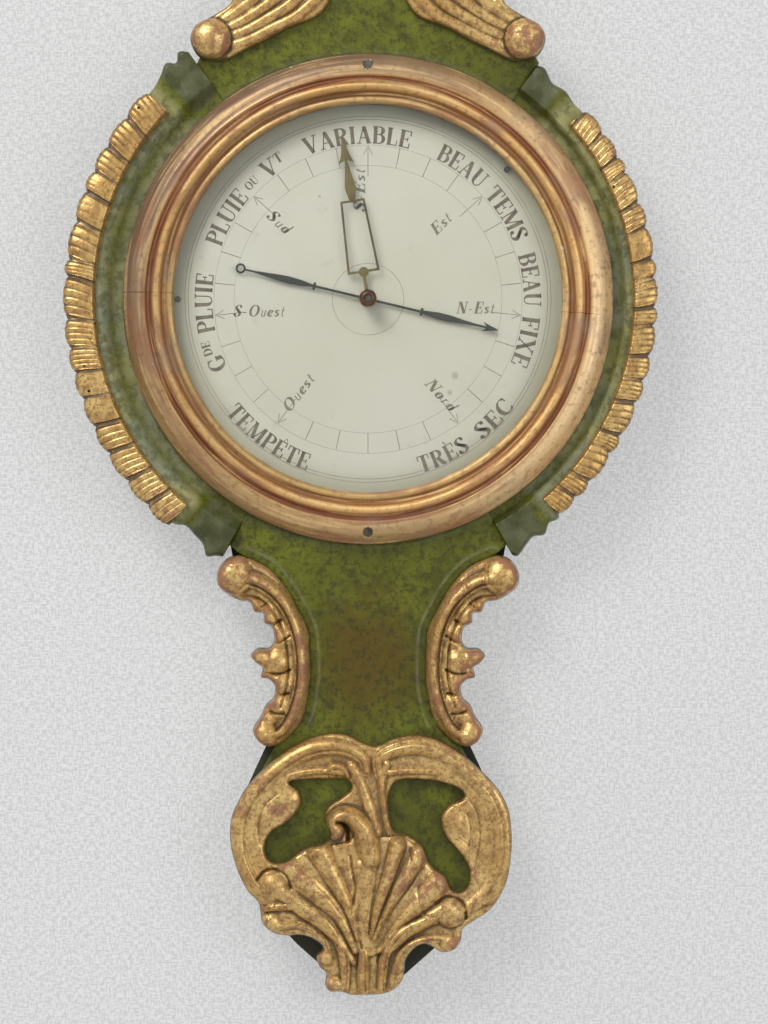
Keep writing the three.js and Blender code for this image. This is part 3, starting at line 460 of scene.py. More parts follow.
# Painted highlight: the outer band turns pale gold on the right side.
right = p.vector("DOT_PRODUCT", way, (0.98, 0.0, -0.1))
pale = p.math("MULTIPLY", p.step(right, 0.3, 0.95), outer_band)
colour = p.mix(p.math("MULTIPLY", pale, 0.9), colour, (0.88, 0.62, 0.34))
colour = p.mix(p.step(streak, 0.50, 0.62, 0.0, 0.7), colour, (0.84, 0.58, 0.27))
colour = p.mix(p.step(wide, 0.50, 0.64, 0.0, 0.7), colour, (0.33, 0.135, 0.07))
colour = p.mix(p.step(p.noise(30, 6, rough=0.7), 0.50, 0.70, 0.0, 0.6), colour, (0.42, 0.31, 0.21))
colour = p.mix(p.step(p.noise(240, 5, rough=0.7), 0.50, 0.66, 0.0, 0.5), colour, (0.27, 0.15, 0.07))
# Painted shade: the left side of the bezel is multiplied darker.
painted_shade_side = p.vector("DOT_PRODUCT", way, (0.95, 0.0, -0.3))
colour = p.mix(p.step(painted_shade_side, 0.3, -0.8, 0.0, 0.75), colour, (0.74, 0.73, 0.73), "MULTIPLY")
chip = p.math("MULTIPLY", p.step(p.cells(60), 0.10, 0.07), p.step(p.noise(14, 2), 0.60, 0.63))
colour = p.mix(chip, colour, GESSO)
for degrees, half in ((271.5, 0.0011), (94.0, 0.0008)):
    a = np.radians(degrees)
    off = p.vector("DOT_PRODUCT", way, (np.cos(a), 0.0, -np.sin(a)))
    facing_way = p.vector("DOT_PRODUCT", way, (np.sin(a), 0.0, np.cos(a)))
    wander = p.math("ADD", p.math("ABSOLUTE", off),
                    p.math("MULTIPLY", p.math("SUBTRACT", p.noise(150, 2), 0.5), 0.006))
    split = p.math("MULTIPLY", p.step(wander, half * 2, half * 0.4), p.step(facing_way, 0.5, 0.6, 0.0, 0.75))
    colour = p.mix(split, colour, (0.05, 0.03, 0.015))
metal_amount = p.math("SUBTRACT", 0.50, p.step(wide, 0.50, 0.70, 0.0, 0.42))
normal = p.bump(streak, 0.35, 0.0009)
normal = p.bump(p.noise(70, 5), 0.30, 0.0011, normal)
gilt_bezel = p.finish(colour=colour, metal=metal_amount, rough=p.step(streak, 0.3, 0.7, 0.32, 0.56),
                      normal=normal, specular=0.35)
bezel = swept("bezel_turned", sections, gilt_bezel, closed=True, smooth=60)
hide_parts("bezel_ring")

# ---------------------------------------------------------------- painted panels of the necks
# Green panels between the carvings; a fine raised fillet follows each carving.
def nearest(x, z, line):
    """Signed distance to a polyline, positive on its left, and the nearest place as a row number with parts."""
    best = np.full(x.shape, 1e9)
    side = np.ones(x.shape)
    at = np.zeros(x.shape)
    for i, (a, b) in enumerate(zip(line[:-1, :2], line[1:, :2])):
        ex, ez = b - a
        wx, wz = x - a[0], z - a[1]
        s = np.clip((wx * ex + wz * ez) / max(ex * ex + ez * ez, 1e-9), 0, 1)
        dist = np.hypot(wx - s * ex, wz - s * ez)
        closer = dist < best
        best = np.where(closer, dist, best)
        side = np.where(closer, np.sign(ex * wz - ez * wx + 1e-12), side)
        at = np.where(closer, i + s, at)
    return best * side, at


def outline_distance(x, z, loop):
    """Distance to a closed outline, negative inside (even-odd rule)."""
    ring = np.vstack([loop, loop[:1]])
    dist, _ = nearest(x, z, ring)
    inside = np.zeros(x.shape, bool)
    for a, b in zip(ring[:-1], ring[1:]):
        crosses = (a[1] > z) != (b[1] > z)
        inside ^= crosses & (x < (b[0] - a[0]) * (z - a[1]) / (b[1] - a[1] + 1e-12) + a[0])
    return np.where(inside, -np.abs(dist), np.abs(dist))


def blur(field, weight, cells):
    """Weighted box blur, run twice, of a 2-D field."""
    def box(a):
        for axis in (0, 1):
            pad = [(cells + 1, cells) if i == axis else (0, 0) for i in (0, 1)]
            c = np.cumsum(np.pad(a, pad, mode="edge"), axis=axis)
            n = a.shape[axis]
            a = (np.take(c, range(2 * cells + 1, n + 2 * cells + 1), axis)
                 - np.take(c, range(n), axis)) / (2 * cells + 1)
        return a
    return box(box(field * weight)) / np.maximum(box(box(weight)), 1e-6)


def relief(name, outline, holes, height_of, back, material, cell=0.75, roll=2.0, rim=0.35):
    """Carving as a height field over a flat outline: front d = back + h(x, z), down to a flat back.

    The front keeps a share, rim, of its height at the outline and rolls up to all of it over roll
    millimetres.
    """
    low, high = outline.min(0) - 2 * cell, outline.max(0) + 2 * cell
    xs, zs = np.arange(low[0], high[0], cell), np.arange(low[1], high[1], cell)
    x, z = np.meshgrid(xs, zs, indexing="ij")
    def edge(x, z):
        d = outline_distance(x, z, outline)
        for hole in holes:
            d = np.maximum(d, -outline_distance(x, z, hole))
        return d
    d = edge(x, z)
    step = 0.2
    close = np.abs(d) < 0.75 * cell
    cx, cz = x[close], z[close]
    gx = (edge(cx + step, cz) - edge(cx - step, cz)) / (2 * step)
    gz = (edge(cx, cz + step) - edge(cx, cz - step)) / (2 * step)
    norm = np.maximum(np.hypot(gx, gz), 0.3)
    x[close] -= np.clip(d[close], -cell, cell) * gx / norm
    z[close] -= np.clip(d[close], -cell, cell) * gz / norm
    kept = d < 0.75 * cell
    d = np.minimum(edge(x, z), 0)
    h = height_of(x, z)
    t = np.clip(-d / roll, 0, 1)
    h = h * (rim + (1 - rim) * np.sqrt(1 - (1 - t) ** 2))
    high = h - blur(h, kept.astype(float), max(2, int(2.2 / cell)))
    number = np.full(x.shape, -1)
    number[kept] = np.arange(kept.sum())
    corners = [number[:-1, :-1], number[1:, :-1], number[1:, 1:], number[:-1, 1:]]
    good = np.all([c >= 0 for c in corners], axis=0)
    quads = np.stack([c[good] for c in corners], -1)
    used = np.unique(quads)
    renumber = np.full(kept.sum(), -1)
    renumber[used] = np.arange(len(used))
    quads = renumber[quads]
    front = np.stack([x[kept], back + h[kept], z[kept]], -1)[used]
    worn = high[kept][used]
    edges = np.vstack([quads[:, [i, (i + 1) % 4]] for i in range(4)])
    key = np.sort(edges, 1)
    _, first, count = np.unique(key, axis=0, return_index=True, return_counts=True)
    border = edges[first[count == 1]]
    border_points = np.unique(border)
    lower = np.full(len(front), -1)
    lower[border_points] = len(front) + np.arange(len(border_points))
    foot = front[border_points].copy()
    foot[:, 1] = back
    walls = np.stack([border[:, 1], border[:, 0], lower[border[:, 0]], lower[border[:, 1]]], -1)
    points = np.vstack([front, foot])
    worn = np.concatenate([worn, np.full(len(foot), -0.5)])
    return make_piece(name, points, np.vstack([quads, walls]), material, attributes={"high": worn})


PANEL_BACK = box_mm("lower_neck_panel")[0][1]
FILLET_IN = 4.6  # from the edge of a scroll to the fillet that follows it


def both(half):
    """A half outline (from top to bottom on the right) joined to its mirror."""
    half = np.asarray(half, float)
    return np.vstack([half, half[::-1] * [-1, 1]])


SEAM_IN = BEZEL_R + 0.05


def seam_arc(r, degrees, down):
    """Arc from right to left about the dial axis, inside a seam."""
    a = np.linspace(degrees, -degrees, 60)
    x, z = polar(r, a)
    return np.stack([x, down * z], -1)


INNER = np.array([(80, -164), (64, -172), (52, -185), (44, -199), (38, -212), (36.5, -226), (36.5, -246),
                  (41, -268), (49, -280), (58, -287)], float)
low_seam = np.stack(polar(np.array([SEAM_IN, BEZEL_R + 24]), np.array([29.47, 29.47])), -1) * [1, -1]
lower_half = np.vstack([low_seam, spline(INNER + [1.6, 0.0], 6),
                        [(70, -306), (82, -330), (83, -356), (72, -382), (54, -400), (34, -408), (12, -438)]])
lower_loop = np.vstack([lower_half, lower_half[::-1] * [-1, 1], seam_arc(SEAM_IN, 29.47, -1)[::-1][1:-1]])


def lower_panel_height(x, z):
    """A flat panel with a low fillet, a Gaussian ridge that keeps FILLET_IN from each scroll."""
    s = np.minimum(*[np.abs(nearest(x, z, spline(INNER * [k, 1], 6))[0]) for k in (1, -1)])
    return PANEL - PANEL_BACK - 0.55 + 0.5 * np.exp(-((s - FILLET_IN) ** 2)) * (z > -280)


UP_EDGE = np.array([(98, 176), (84, 190), (68, 210), (54, 240), (48, 270), (46, 310), (56, 350), (60, 380),
                    (54, 404), (44, 440), (26, 464), (10, 476)], float)
up_seam = np.stack(polar(np.array([SEAM_IN, BEZEL_R + 30]), np.array([35.97, 35.97])), -1)
upper_half = np.vstack([up_seam, spline(UP_EDGE, 5)])
upper_loop = np.vstack([upper_half, upper_half[::-1] * [-1, 1], seam_arc(SEAM_IN, 35.97, 1)[::-1][1:-1]])


def upper_panel_height(x, z):
    """A hand-planed panel: two shallow waves, one across the other."""
    return PANEL - PANEL_BACK - 0.3 + 0.2 * np.cos(x / 9) * np.cos(z / 13)


for name, loop, height_of in (("lower", lower_loop, lower_panel_height),
                              ("upper", upper_loop, upper_panel_height)):
    panel = relief(f"{name}_neck_painted", loop, [], height_of, PANEL_BACK, green, cell=1.0, roll=0.8,
                   rim=0.96)
    co = np.zeros(len(panel.data.vertices) * 3, np.float32)
    panel.data.vertices.foreach_get("co", co)
    co = co.reshape(-1, 3) * 1000
    from_seam = np.abs(np.hypot(co[:, 0], co[:, 2]) - BEZEL_R)
    s = np.minimum(*[np.abs(nearest(co[:, 0], co[:, 2], spline(INNER * [k, 1], 6))[0]) for k in (1, -1)])
    # Pale dust along the seam with the bezel, and a painted highlight along the lower panel's fillet.
    dust_sheen_and_darkening = 0.35 * np.exp(-((from_seam / 3) ** 2))
    if name == "lower":
        dust_sheen_and_darkening += 0.5 * np.exp(-(((s - FILLET_IN) / 0.8) ** 2)) * (co[:, 2] > -276)
    panel.data.attributes.new("dust_sheen_and_darkening", "FLOAT", "POINT").data.foreach_set("value", dust_sheen_and_darkening.astype(np.float32))
    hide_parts(f"{name}_neck_panel")

# ---------------------------------------------------------------- lower scrolls
# Carved limewood C-ribs with leafy backs, gilded; glued to the board on each side of the neck.
def smax(a, b, k=0.6):
    """Smooth maximum: (a + b + sqrt((a - b)^2 + k^2)) / 2."""
    return 0.5 * (a + b + np.sqrt((a - b) ** 2 + k * k))


def lay_rib(height, x, z, points, form="round", soft=0.7):
    """Adds a carved rib to a height field. Rows of points are x, z, width, height above the field's zero."""
    line = spline(points, 8)
    reach = line[:, 2].max()
    near = (x > line[:, 0].min() - reach) & (x < line[:, 0].max() + reach)
    near &= (z > line[:, 1].min() - reach) & (z < line[:, 1].max() + reach)
    s, at = nearest(x[near], z[near], line)
    rows = np.arange(len(line))
    u = s / (np.interp(at, rows, line[:, 2]) / 2)
    top = np.interp(at, rows, line[:, 3])
    dome = np.sqrt(np.clip(1 - u * u, 0, 1))
    if form == "groove":  # a torus with a fine line cut off centre
        dome = dome - 0.13 * np.exp(-(((u - 0.35) / 0.13) ** 2))
    if form == "scoop":  # a flute: hollow along the middle
        dome = dome * (0.72 + 0.3 * u * u)
    value = np.where(np.abs(u) < 1, top * dome, -5)
    out = height.copy()
    out[near] = smax(height[near], value, soft)
    return out


def lay_ball(height, x, z, cx, cz, r, top, soft=0.5):
    """Adds a ball whose crown is at a given height."""
    u2 = ((x - cx) ** 2 + (z - cz) ** 2) / r**2
    value = np.where(u2 < 1, top - r * 0.8 * (1 - np.sqrt(np.clip(1 - u2, 0, 1))), -5)
    return smax(height, value, soft)


def cut_line(height, x, z, points, width, deep):
    """Cuts a fine carved line: a Gaussian groove along a curve."""
    s, _ = nearest(x, z, spline(points, 8))
    return height - deep * np.exp(-((s / width) ** 2))


gilt_scroll = gilding("gilding_scrolls", 3.1, 0.85, 0.60)
SCROLL_BACK, SCROLL_TOP = box_mm("lower_scroll_left")[0][1], box_mm("lower_scroll_left")[1][1]
SCROLL_EDGE = np.array([
    (80, -164.5), (64, -172), (52, -185), (44, -199), (38, -212), (36.6, -226), (36.6, -246), (41, -268),
    (49, -280), (58, -287), (66, -287.5), (72, -283), (74, -276), (69, -268), (66, -261), (61, -256),
    (60, -249), (64, -244.5), (69, -243), (68, -237), (72, -234), (75.5, -229), (71, -224.5), (64, -224),
    (60.5, -219), (62, -211), (67, -208), (67.5, -202), (73, -201), (76, -195), (83, -193.5), (90, -190),
    (96.5, -184), (97, -175), (92, -167.5), (86, -164.6)])


def scroll_height(x, z):
    """A row of leaf lobes, a grooved rib in front of them, and a ball at each end."""
    x = np.abs(x)
    top = SCROLL_TOP - SCROLL_BACK
    h = np.full(x.shape, top - 8.5)
    for cx, cz, r, low in ((76, -198, 8, 4.8), (65, -204, 9.5, 4.4), (55, -216, 9, 5.4), (63, -213, 7, 5.6),
                           (70, -230.5, 8.5, 4.0), (58, -233, 9, 4.8), (57, -247, 9, 5.2),
                           (65, -244, 6, 5.4), (57, -260, 9, 5.0), (62, -257, 6, 5.2), (66, -269, 8, 4.6),
                           (72, -275, 6, 5.0)):
        h = lay_ball(h, x, z, cx, cz, r, top - low, 1.6)
    for row in ([(50, -216), (58, -221), (68, -222)], [(50, -238), (58, -240.5), (70, -239)],
                [(51, -253), (57, -253.5), (64, -250)],
                [(54, -266), (60, -265.5), (67, -262)], [(56, -206), (62, -209.5), (69, -207)],
                [(66, -196), (71, -200), (72, -204)]):
        h = cut_line(h, x, z, np.column_stack([row, np.zeros((3, 2))]), 0.8, 1.9)
    h = lay_rib(h, x, z, [(84, -180, 18, top - 1.6), (71, -181, 17, top - 1.2), (57, -191, 16, top - 1),
                          (47.5, -207, 15, top - 1), (43, -226, 14.5, top - 1.2), (43, -246, 14, top - 1.4),
                          (48, -265, 13.5, top - 1.8), (56, -277, 13, top - 2.2), (65, -280, 12, top - 2.6)],
                          "groove", 0.9)
    h = cut_line(h, x, z, [(88, -190.5, 0, 0), (72, -191.5, 0, 0), (62, -199, 0, 0), (55, -212, 0, 0),
                           (51.5, -228, 0, 0), (51.5, -246, 0, 0), (56, -262, 0, 0)], 0.8, 1.6)
    h = lay_ball(h, x, z, 86, -177.5, 12.6, top, 2.5)
    h = cut_line(h, x, z, [(78, -166, 0, 0), (75.5, -173, 0, 0), (77, -181, 0, 0), (82, -187, 0, 0)], 1.0,
                 1.1)
    return np.minimum(lay_ball(h, x, z, 66, -279.5, 8.4, top - 1.8, 2.0), top)


for name, sign in (("left", -1), ("right", 1)):
    loop = spline(SCROLL_EDGE, 6, closed=True) * [sign, 1]
    scroll = relief(f"lower_scroll_{name}_carved", loop, [], scroll_height, SCROLL_BACK, gilt_scroll,
                    cell=0.62, roll=3)
    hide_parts(f"lower_scroll_{name}")

# ---------------------------------------------------------------- upper leaves
# Carved acanthus beside the upper neck, each rolled into a ball at its foot; gilded, glued on the panel.
gilt_leaf = gilding("gilding_leaves", 8.3, 0.2, 0.60)
LEAF_BACK, LEAF_TOP = box_mm("upper_leaf_left")[0][1], box_mm("upper_leaf_left")[1][1]
LEAF_EDGE = np.array([
    (101, 153), (91, 153.5), (78, 160), (65, 166), (52, 173), (42, 177), (33, 181), (27, 187), (22, 198),
    (19.5, 220), (19.5, 250), (24, 285), (30, 312), (40, 331), (50, 337.5), (58, 333), (60, 325), (57, 315),
    (51, 306), (53, 296), (58, 288), (61, 276), (59, 262), (60, 250), (66, 242), (72, 232), (72, 222),
    (70, 214), (78, 207), (86, 198), (88, 190), (96, 184), (104, 179.5), (111, 175), (114, 166), (109, 156)])


def leaf_height(x, z):
    """Five flutes from the inner edge to the tips (a quadratic blend), side leaves and two balls."""
    x = np.abs(x)
    top = LEAF_TOP - LEAF_BACK
    h = np.full(x.shape, 5.0)
    for inner in (0.0, 0.25, 0.5, 0.75, 1.0):
        foot = np.array([(99, 170), (84, 176), (66, 186), (50, 200), (38, 226), (33, 260), (36, 295),
                         (46, 322)], float)
        lane = np.array([(98, 163), (82, 164), (62, 173), (42, 184), (27, 205), (24, 250), (31, 298),
                         (44, 327)], float)
        tip = np.array([(102, 178), (90, 188), (78, 200), (66, 218), (55, 242), (50, 268), (46, 300),
                        (50, 322)], float)
        mid = lane * (1 - inner) ** 2 + foot * 2 * inner * (1 - inner) + tip * inner**2
        tall = np.array([7, 9, 10, 10.5, 10, 9.5, 10, 11]) - 1.2 * abs(inner - 0.35)
        wide = np.array([5, 7, 8.5, 9, 8.5, 7.5, 6.5, 6.0])
        h = lay_rib(h, x, z, np.column_stack([mid, wide, tall]), "scoop", 0.5)
    for side_leaf in ([(60, 206, 10, 9), (72, 212, 10, 9.5), (76, 224, 7, 8)],
                      [(50, 232, 10, 9), (60, 242, 9, 9), (64, 238, 6, 8)],
                      [(46, 266, 10, 9), (56, 272, 9, 9), (58, 282, 6, 8)],
                      [(76, 186, 9, 8), (86, 192, 8, 8.5), (88, 198, 6, 7)]):
        h = lay_rib(h, x, z, side_leaf, "scoop", 0.5)
    h = lay_ball(h, x, z, 101, 166.5, 13.4, top, 3.5)
    h = cut_line(h, x, z, [(92, 153, 0, 0), (88.5, 162, 0, 0), (90, 172, 0, 0), (96, 179, 0, 0)], 1.4, 0.5)
    return np.minimum(lay_ball(h, x, z, 51, 326, 9, top - 2), top)


for name, sign in (("left", -1), ("right", 1)):
    loop = spline(LEAF_EDGE, 6, closed=True) * [sign, 1]
    leaf = relief(f"upper_leaf_{name}_carved", loop, [], leaf_height, LEAF_BACK, gilt_leaf, cell=0.7, roll=3)
    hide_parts(f"upper_leaf_{name}")

# ---------------------------------------------------------------- cartouche at the foot
# Pierced rocaille in one carving: two C-ribs that meet at a notch, leaves at the windows, and a fluted shell.
gilt_frame = gilding("gilding_cartouche", 0.0, 0.55, 0.58)
CART_BACK = box_mm("cartouche_frame")[0][1]
CART_FRONT = box_mm("cartouche_frame")[1][1] - CART_BACK
SHELL_TOP = box_mm("cartouche_shell")[1][1] - CART_BACK
CART_EDGE = np.array([
    (5.3, -286.7), (16, -282), (29.5, -279.3), (40, -281), (49.2, -284.7), (60, -291.5), (68.9, -299.2),
    (78, -308), (84.6, -316.1), (90, -327), (92, -340), (92, -355.4), (88.6, -375), (79.4, -390.8),
    (68, -399), (61, -404), (59.7, -411), (56, -417), (47.9, -419.3), (41, -415.5), (35, -414), (29.5, -417),
    (24.4, -423.6), (23.5, -430), (22, -437), (16.5, -443.2), (8.6, -446), (-1, -446.5), (-9.8, -446.6),
    (-17.6, -444.5), (-24, -444.5), (-27.5, -440), (-26.8, -432.7), (-31, -428.5), (-33, -421.5),
    (-29, -416), (-36, -410.2), (-44, -408), (-52, -408.5), (-60.5, -406.8), (-67.4, -401), (-69, -394),
    (-70.5, -386.9), (-77.9, -378.8), (-84.4, -364.7), (-88.3, -348.6), (-87.7, -333.2), (-83, -322),
    (-77.9, -313.3), (-67.4, -301.7), (-53, -290), (-36, -281), (-22, -278.4), (-12, -280), (-3, -284.5)])
WINDOWS = [np.array([
    (-50.3, -310), (-38, -308.4), (-24, -308.2), (-14, -308.6), (-10.8, -314), (-17.6, -320), (-25, -325),
    (-28.3, -333), (-24.1, -343.7), (-28, -348.9), (-38.5, -351.5), (-46, -356), (-53, -360.7),
    (-62.1, -360.7), (-66.1, -352), (-62.1, -342.3), (-54, -337), (-47, -331), (-42.5, -323),
    (-44.4, -315.5)]),
    np.array([
    (20.4, -308.8), (33, -308.4), (46, -310), (58.5, -314.5), (61, -320), (52, -324.6), (46.9, -331),
    (47.6, -340), (51.5, -347.5), (58.4, -355), (64.8, -366), (63.5, -377), (58, -380.6), (53.2, -378),
    (49.5, -370), (42, -364.5), (38, -358), (35, -350.5), (26, -344), (16.2, -340), (13.2, -323.7),
    (15.2, -313.3)])]


def cartouche_height(x, z):
    """A low ground, then the leaves and ledges at the windows, the C-ribs, the shell, its curl and ribbons."""
    top = CART_FRONT
    h = top - 5.0 + 2.2 / (1 + np.exp((45 - np.abs(x)) / 2.5)) * (z > -388)
    for cx, cz, r, low in ((54, -334, 9, 1.6), (58, -352, 7, 2.0), (68, -372, 7, 2.2), (-51, -322, 10, 1.6),
                           (-63, -331, 8, 2.0)):
        h = lay_ball(h, x, z, cx, cz, r, top - low, 1.8)
    for row in ([(60, -316), (69, -327), (72, -342), (70, -358), (67, -368)],
                [(-58, -317), (-67, -326), (-70, -338), (-69, -350)],
                [(64, -330), (66, -340), (65, -350)], [(-56, -324), (-61, -331), (-63, -338)]):
        h = cut_line(h, x, z, np.column_stack([row, np.zeros((len(row), 2))]), 0.8, 0.9)
    for row in (  # the post between the windows, and the ledges over them
        [(-10, -300, 11, top - 2.2), (-4, -312, 11, top - 1.6), (1, -326, 11, top - 1.2),
         (6, -342, 10, top - 1)],
        [(12, -298, 8, top - 2.2), (9, -310, 7.5, top - 1.8), (10.5, -326, 7, top - 1.8),
         (14, -342, 7, top - 2)],
        [(-14, -304, 7, top - 2.2), (-32, -302.5, 8, top - 2.2), (-50, -306, 8, top - 2.2),
         (-63, -315, 7, top - 2.6)],
        [(14, -303.5, 7, top - 2.2), (34, -302.5, 8, top - 2.2), (53, -306, 8, top - 2.2),
         (67, -316, 8, top - 2.4), (76, -331, 7, top - 2.4), (79, -350, 7, top - 2.4),
         (75, -368, 7, top - 2.6), (66, -381, 6, top - 3)],
        [(-74, -330, 7, top - 2.6), (-75, -348, 7, top - 2.4), (-70, -362, 7, top - 2.6),
         (-62, -369, 6, top - 3)],
    ):
        h = lay_rib(h, x, z, row, "round", 0.6)
    h = lay_rib(h, x, z, [(-1, -303, 9, top - 2), (-4, -294, 12, top - 1), (-17, -287.5, 14, top - 0.5),
                          (-35, -288.5, 15, top - 0.3), (-52, -297, 15, top - 0.3),
                          (-67, -310, 15, top - 0.3), (-78.5, -327, 15, top - 0.4),
                          (-81.5, -345, 15, top - 0.5), (-79, -361, 15, top - 0.6),
                          (-71, -376, 14, top - 0.6), (-62, -383, 11, top - 1),
                          (-54, -380, 8, top - 1.4)], "groove", 0.6)
    h = lay_rib(h, x, z, [(7, -305, 9, top - 2), (7, -295, 11, top - 1.2), (19, -288.5, 13, top - 0.6),
                          (36, -287, 14, top - 0.4), (52, -294, 14.5, top - 0.3), (67, -306, 15, top - 0.3),
                          (79.5, -322, 15, top - 0.4), (85, -341, 14, top - 0.5), (84, -360, 14, top - 0.6),
                          (77, -377, 14, top - 0.6), (67, -388, 13, top - 0.8), (57, -394, 11, top - 1.2)],
                "groove", 0.6)
    h = lay_rib(h, x, z, [(-13, -306, 5, top - 1.4), (-16, -301, 7, top - 0.6), (-22, -299.5, 7, top - 0.8),
                          (-27, -303, 5, top - 1.8)],
                "round", 0.4)
    # the shell: broad folds that fan out of the tip and curl over at their ends
    s = SHELL_TOP
    body = outline_distance(x, z, spline([(-6, -420), (-15, -410), (-34, -395), (-56, -384), (-54, -366),
                                          (-42, -354), (-28, -351), (-14, -348), (-4, -342), (10, -345),
                                          (20, -344), (30, -350), (39, -360), (49, -371), (53, -383),
                                          (42, -394), (24, -406), (10, -416), (3, -421)], 6, True))
    h = smax(h, np.where(body < 0, top - 3.4 + 2.6 * (1 - np.exp(body / 6)), -5), 1.0)
    for row in (
        [(-9, -425, 6, s - 6.2), (-22, -406, 12, s - 4.4), (-40, -391, 15, s - 3.6), (-56, -380, 14, s - 4)],
        [(-8, -418, 6, s - 5), (-18, -396, 13, s - 3.2), (-34, -379, 20, s - 2.3), (-50, -366, 21, s - 2.3)],
        [(-6, -410, 6, s - 4.2), (-13, -388, 12, s - 2.4), (-22, -370, 18, s - 1.4),
         (-31, -354, 20, s - 1.6)],
        [(10, -422, 5, s - 6.4), (24, -407, 10, s - 4.6), (38, -397, 13, s - 4), (50, -389, 12, s - 4.2)],
        [(7, -418, 5, s - 5.2), (20, -400, 12, s - 3.6), (34, -386, 18, s - 2.4), (45, -374, 21, s - 1.9)],
        [(4, -410, 5, s - 4.4), (13, -390, 10, s - 2.8), (24, -371, 14, s - 1.9), (33, -356, 16, s - 1.7)],
        [(2, -408, 5, s - 4), (7, -388, 9, s - 2.2), (14, -367, 12, s - 1.2), (19, -350, 14, s - 1.2)],
    ):
        h = lay_rib(h, x, z, row, "round", 0.5)
    h = lay_rib(h, x, z, [(-3, -425, 8, s - 5), (-4, -402, 9, s - 2.0), (-2.5, -380, 11, s - 0.8),
                          (-3, -364, 15, s - 0.3)],
                "scoop", 0.4)
    for row, deep in (  # the cut lines that part the folds
        ([(-11, -357), (-10, -366), (-8, -378), (-10, -392), (-6, -406), (-4, -416)], 1.9),
        ([(7, -360), (4.5, -376), (2, -392), (1, -408)], 1.2), ([(-3, -374), (-6, -386), (-6, -398)], 0.7),
        ([(-44, -364), (-34, -373.5), (-24, -383.5), (-17, -393)], 1.0),
        ([(-29, -357), (-22, -374), (-15, -390)], 0.5), ([(-50, -373), (-38, -382), (-26, -392)], 0.5),
        ([(-38, -358), (-29, -370), (-20, -384)], 0.45),
        ([(27, -352), (27, -363), (21.6, -372), (13, -384), (8, -398)], 1.2),
        ([(31, -354), (32, -365), (27, -376), (16, -390), (8, -404)], 1.0),
        ([(33, -372), (32, -384), (36, -394)], 1.1),
        ([(17, -350), (15, -364), (9, -380)], 0.8),
        ([(44, -396), (32.3, -396), (19.5, -403), (10, -411), (6, -425)], 1.4),
    ):
        h = cut_line(h, x, z, np.column_stack([row, np.zeros((len(row), 2))]), 0.9, 0.7 * deep)
    # the thick stem that rises out of the shell and rolls over into a curl
    h = lay_rib(h, x, z, [(2, -358, 18, s - 1.7), (0, -350, 19, s - 1), (-2, -341, 17, s - 0.4),
                          (-8, -333.5, 15, s - 0.2), (-15.5, -330.5, 13.5, s - 0.2),
                          (-21.5, -334, 12, s - 0.3), (-22.3, -340, 9.5, s - 0.6)], "round", 0.6)
    h = lay_ball(h, x, z, -21.8, -340.3, 6.2, s - 0.2)
    h = cut_line(h, x, z, [(-19.5, -335, 0, 0), (-15, -337, 0, 0), (-13, -341, 0, 0), (-12.8, -347, 0, 0)],
                 1.1, 3.6)
    h = lay_ball(h, x, z, -60.5, -376.5, 10.4, top + 2.2)
    h = cut_line(h, x, z, [(-71, -372, 0, 0), (-66, -366.5, 0, 0), (-59, -365.5, 0, 0), (-52, -369.5, 0, 0),
                           (-49.5, -377, 0, 0)], 0.9, 2.0)
    h = lay_ball(h, x, z, 52.8, -393.5, 9.8, top + 2.2)
    h = cut_line(h, x, z, [(63, -397, 0, 0), (62, -389, 0, 0), (57, -384, 0, 0), (50, -383, 0, 0),
                           (44, -387, 0, 0)], 0.9, 2.0)
    for row in (  # ribbons under the shell
        [(-71, -391, 9, top - 2), (-55, -388.5, 9.5, top - 0.3), (-40, -390, 10, top + 0.6),
         (-27, -398, 10, top + 1.2), (-18.5, -411, 9.5, top + 1), (-14.5, -427, 9, top),
         (-15, -444, 8, top - 1.5)],
        [(-59, -402, 9, top - 2), (-46, -401, 7.5, top - 1.6), (-36, -404, 7, top - 1.4),
         (-28, -412, 6.5, top - 1.6), (-24, -425, 6, top - 2.2)],
        [(43, -398, 8, top - 0.6), (31, -400, 9, top + 0.6), (20, -407, 9, top + 1.2),
         (12.5, -417, 8.5, top + 0.8), (9.5, -430, 8, top - 0.2), (8.5, -445, 8, top - 1.6)],
        [(52, -410.5, 9, top - 2), (40, -410, 8, top - 1.6), (29, -413, 7.5, top - 1.6),
         (21, -420, 7, top - 1.8), (17, -431, 7, top - 2.2), (15, -442, 7, top - 3)],
        [(-3, -420, 9, top + 0.5), (-3, -432, 10, top - 0.4), (-3, -446, 10, top - 1.6)],
    ):
        h = lay_rib(h, x, z, row, "groove", 0.4)
    for cx, cz, r in ((-62, -399.8, 7.2), (-27.6, -422, 5.6), (-21.4, -439.5, 5.8), (52.6, -414, 6.6)):
        h = lay_ball(h, x, z, cx, cz, r, top - 0.8)
    return np.minimum(h, s)


cartouche = relief("cartouche_carved", spline(CART_EDGE, 5, closed=True),
                   [spline(w, 5, closed=True) for w in WINDOWS],
                   cartouche_height, CART_BACK, gilt_frame, cell=0.62, roll=2.4)
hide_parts("cartouche_frame", "cartouche_shell")

# ---------------------------------------------------------------- crest
# A fluted palmette between two small scrolls; carved, gilded, glued on the upper panel.
CREST_BACK, CREST_TOP = box_mm("crest_shell")[0][1], box_mm("crest_shell")[1][1] - box_mm("crest_shell")[0][1]
fan_t = np.linspace(0, 1, 85)
reach = 88 + 10 * np.sin(np.pi * fan_t) + 5 * np.abs(np.sin(np.pi * 7 * fan_t))
fx, fz = polar(reach, -62 + 124 * fan_t)
FAN = np.vstack([[(14, 372.2), (-14, 372.2)], np.stack([fx * 0.62, np.minimum(391 + fz, 493.8)], -1)])


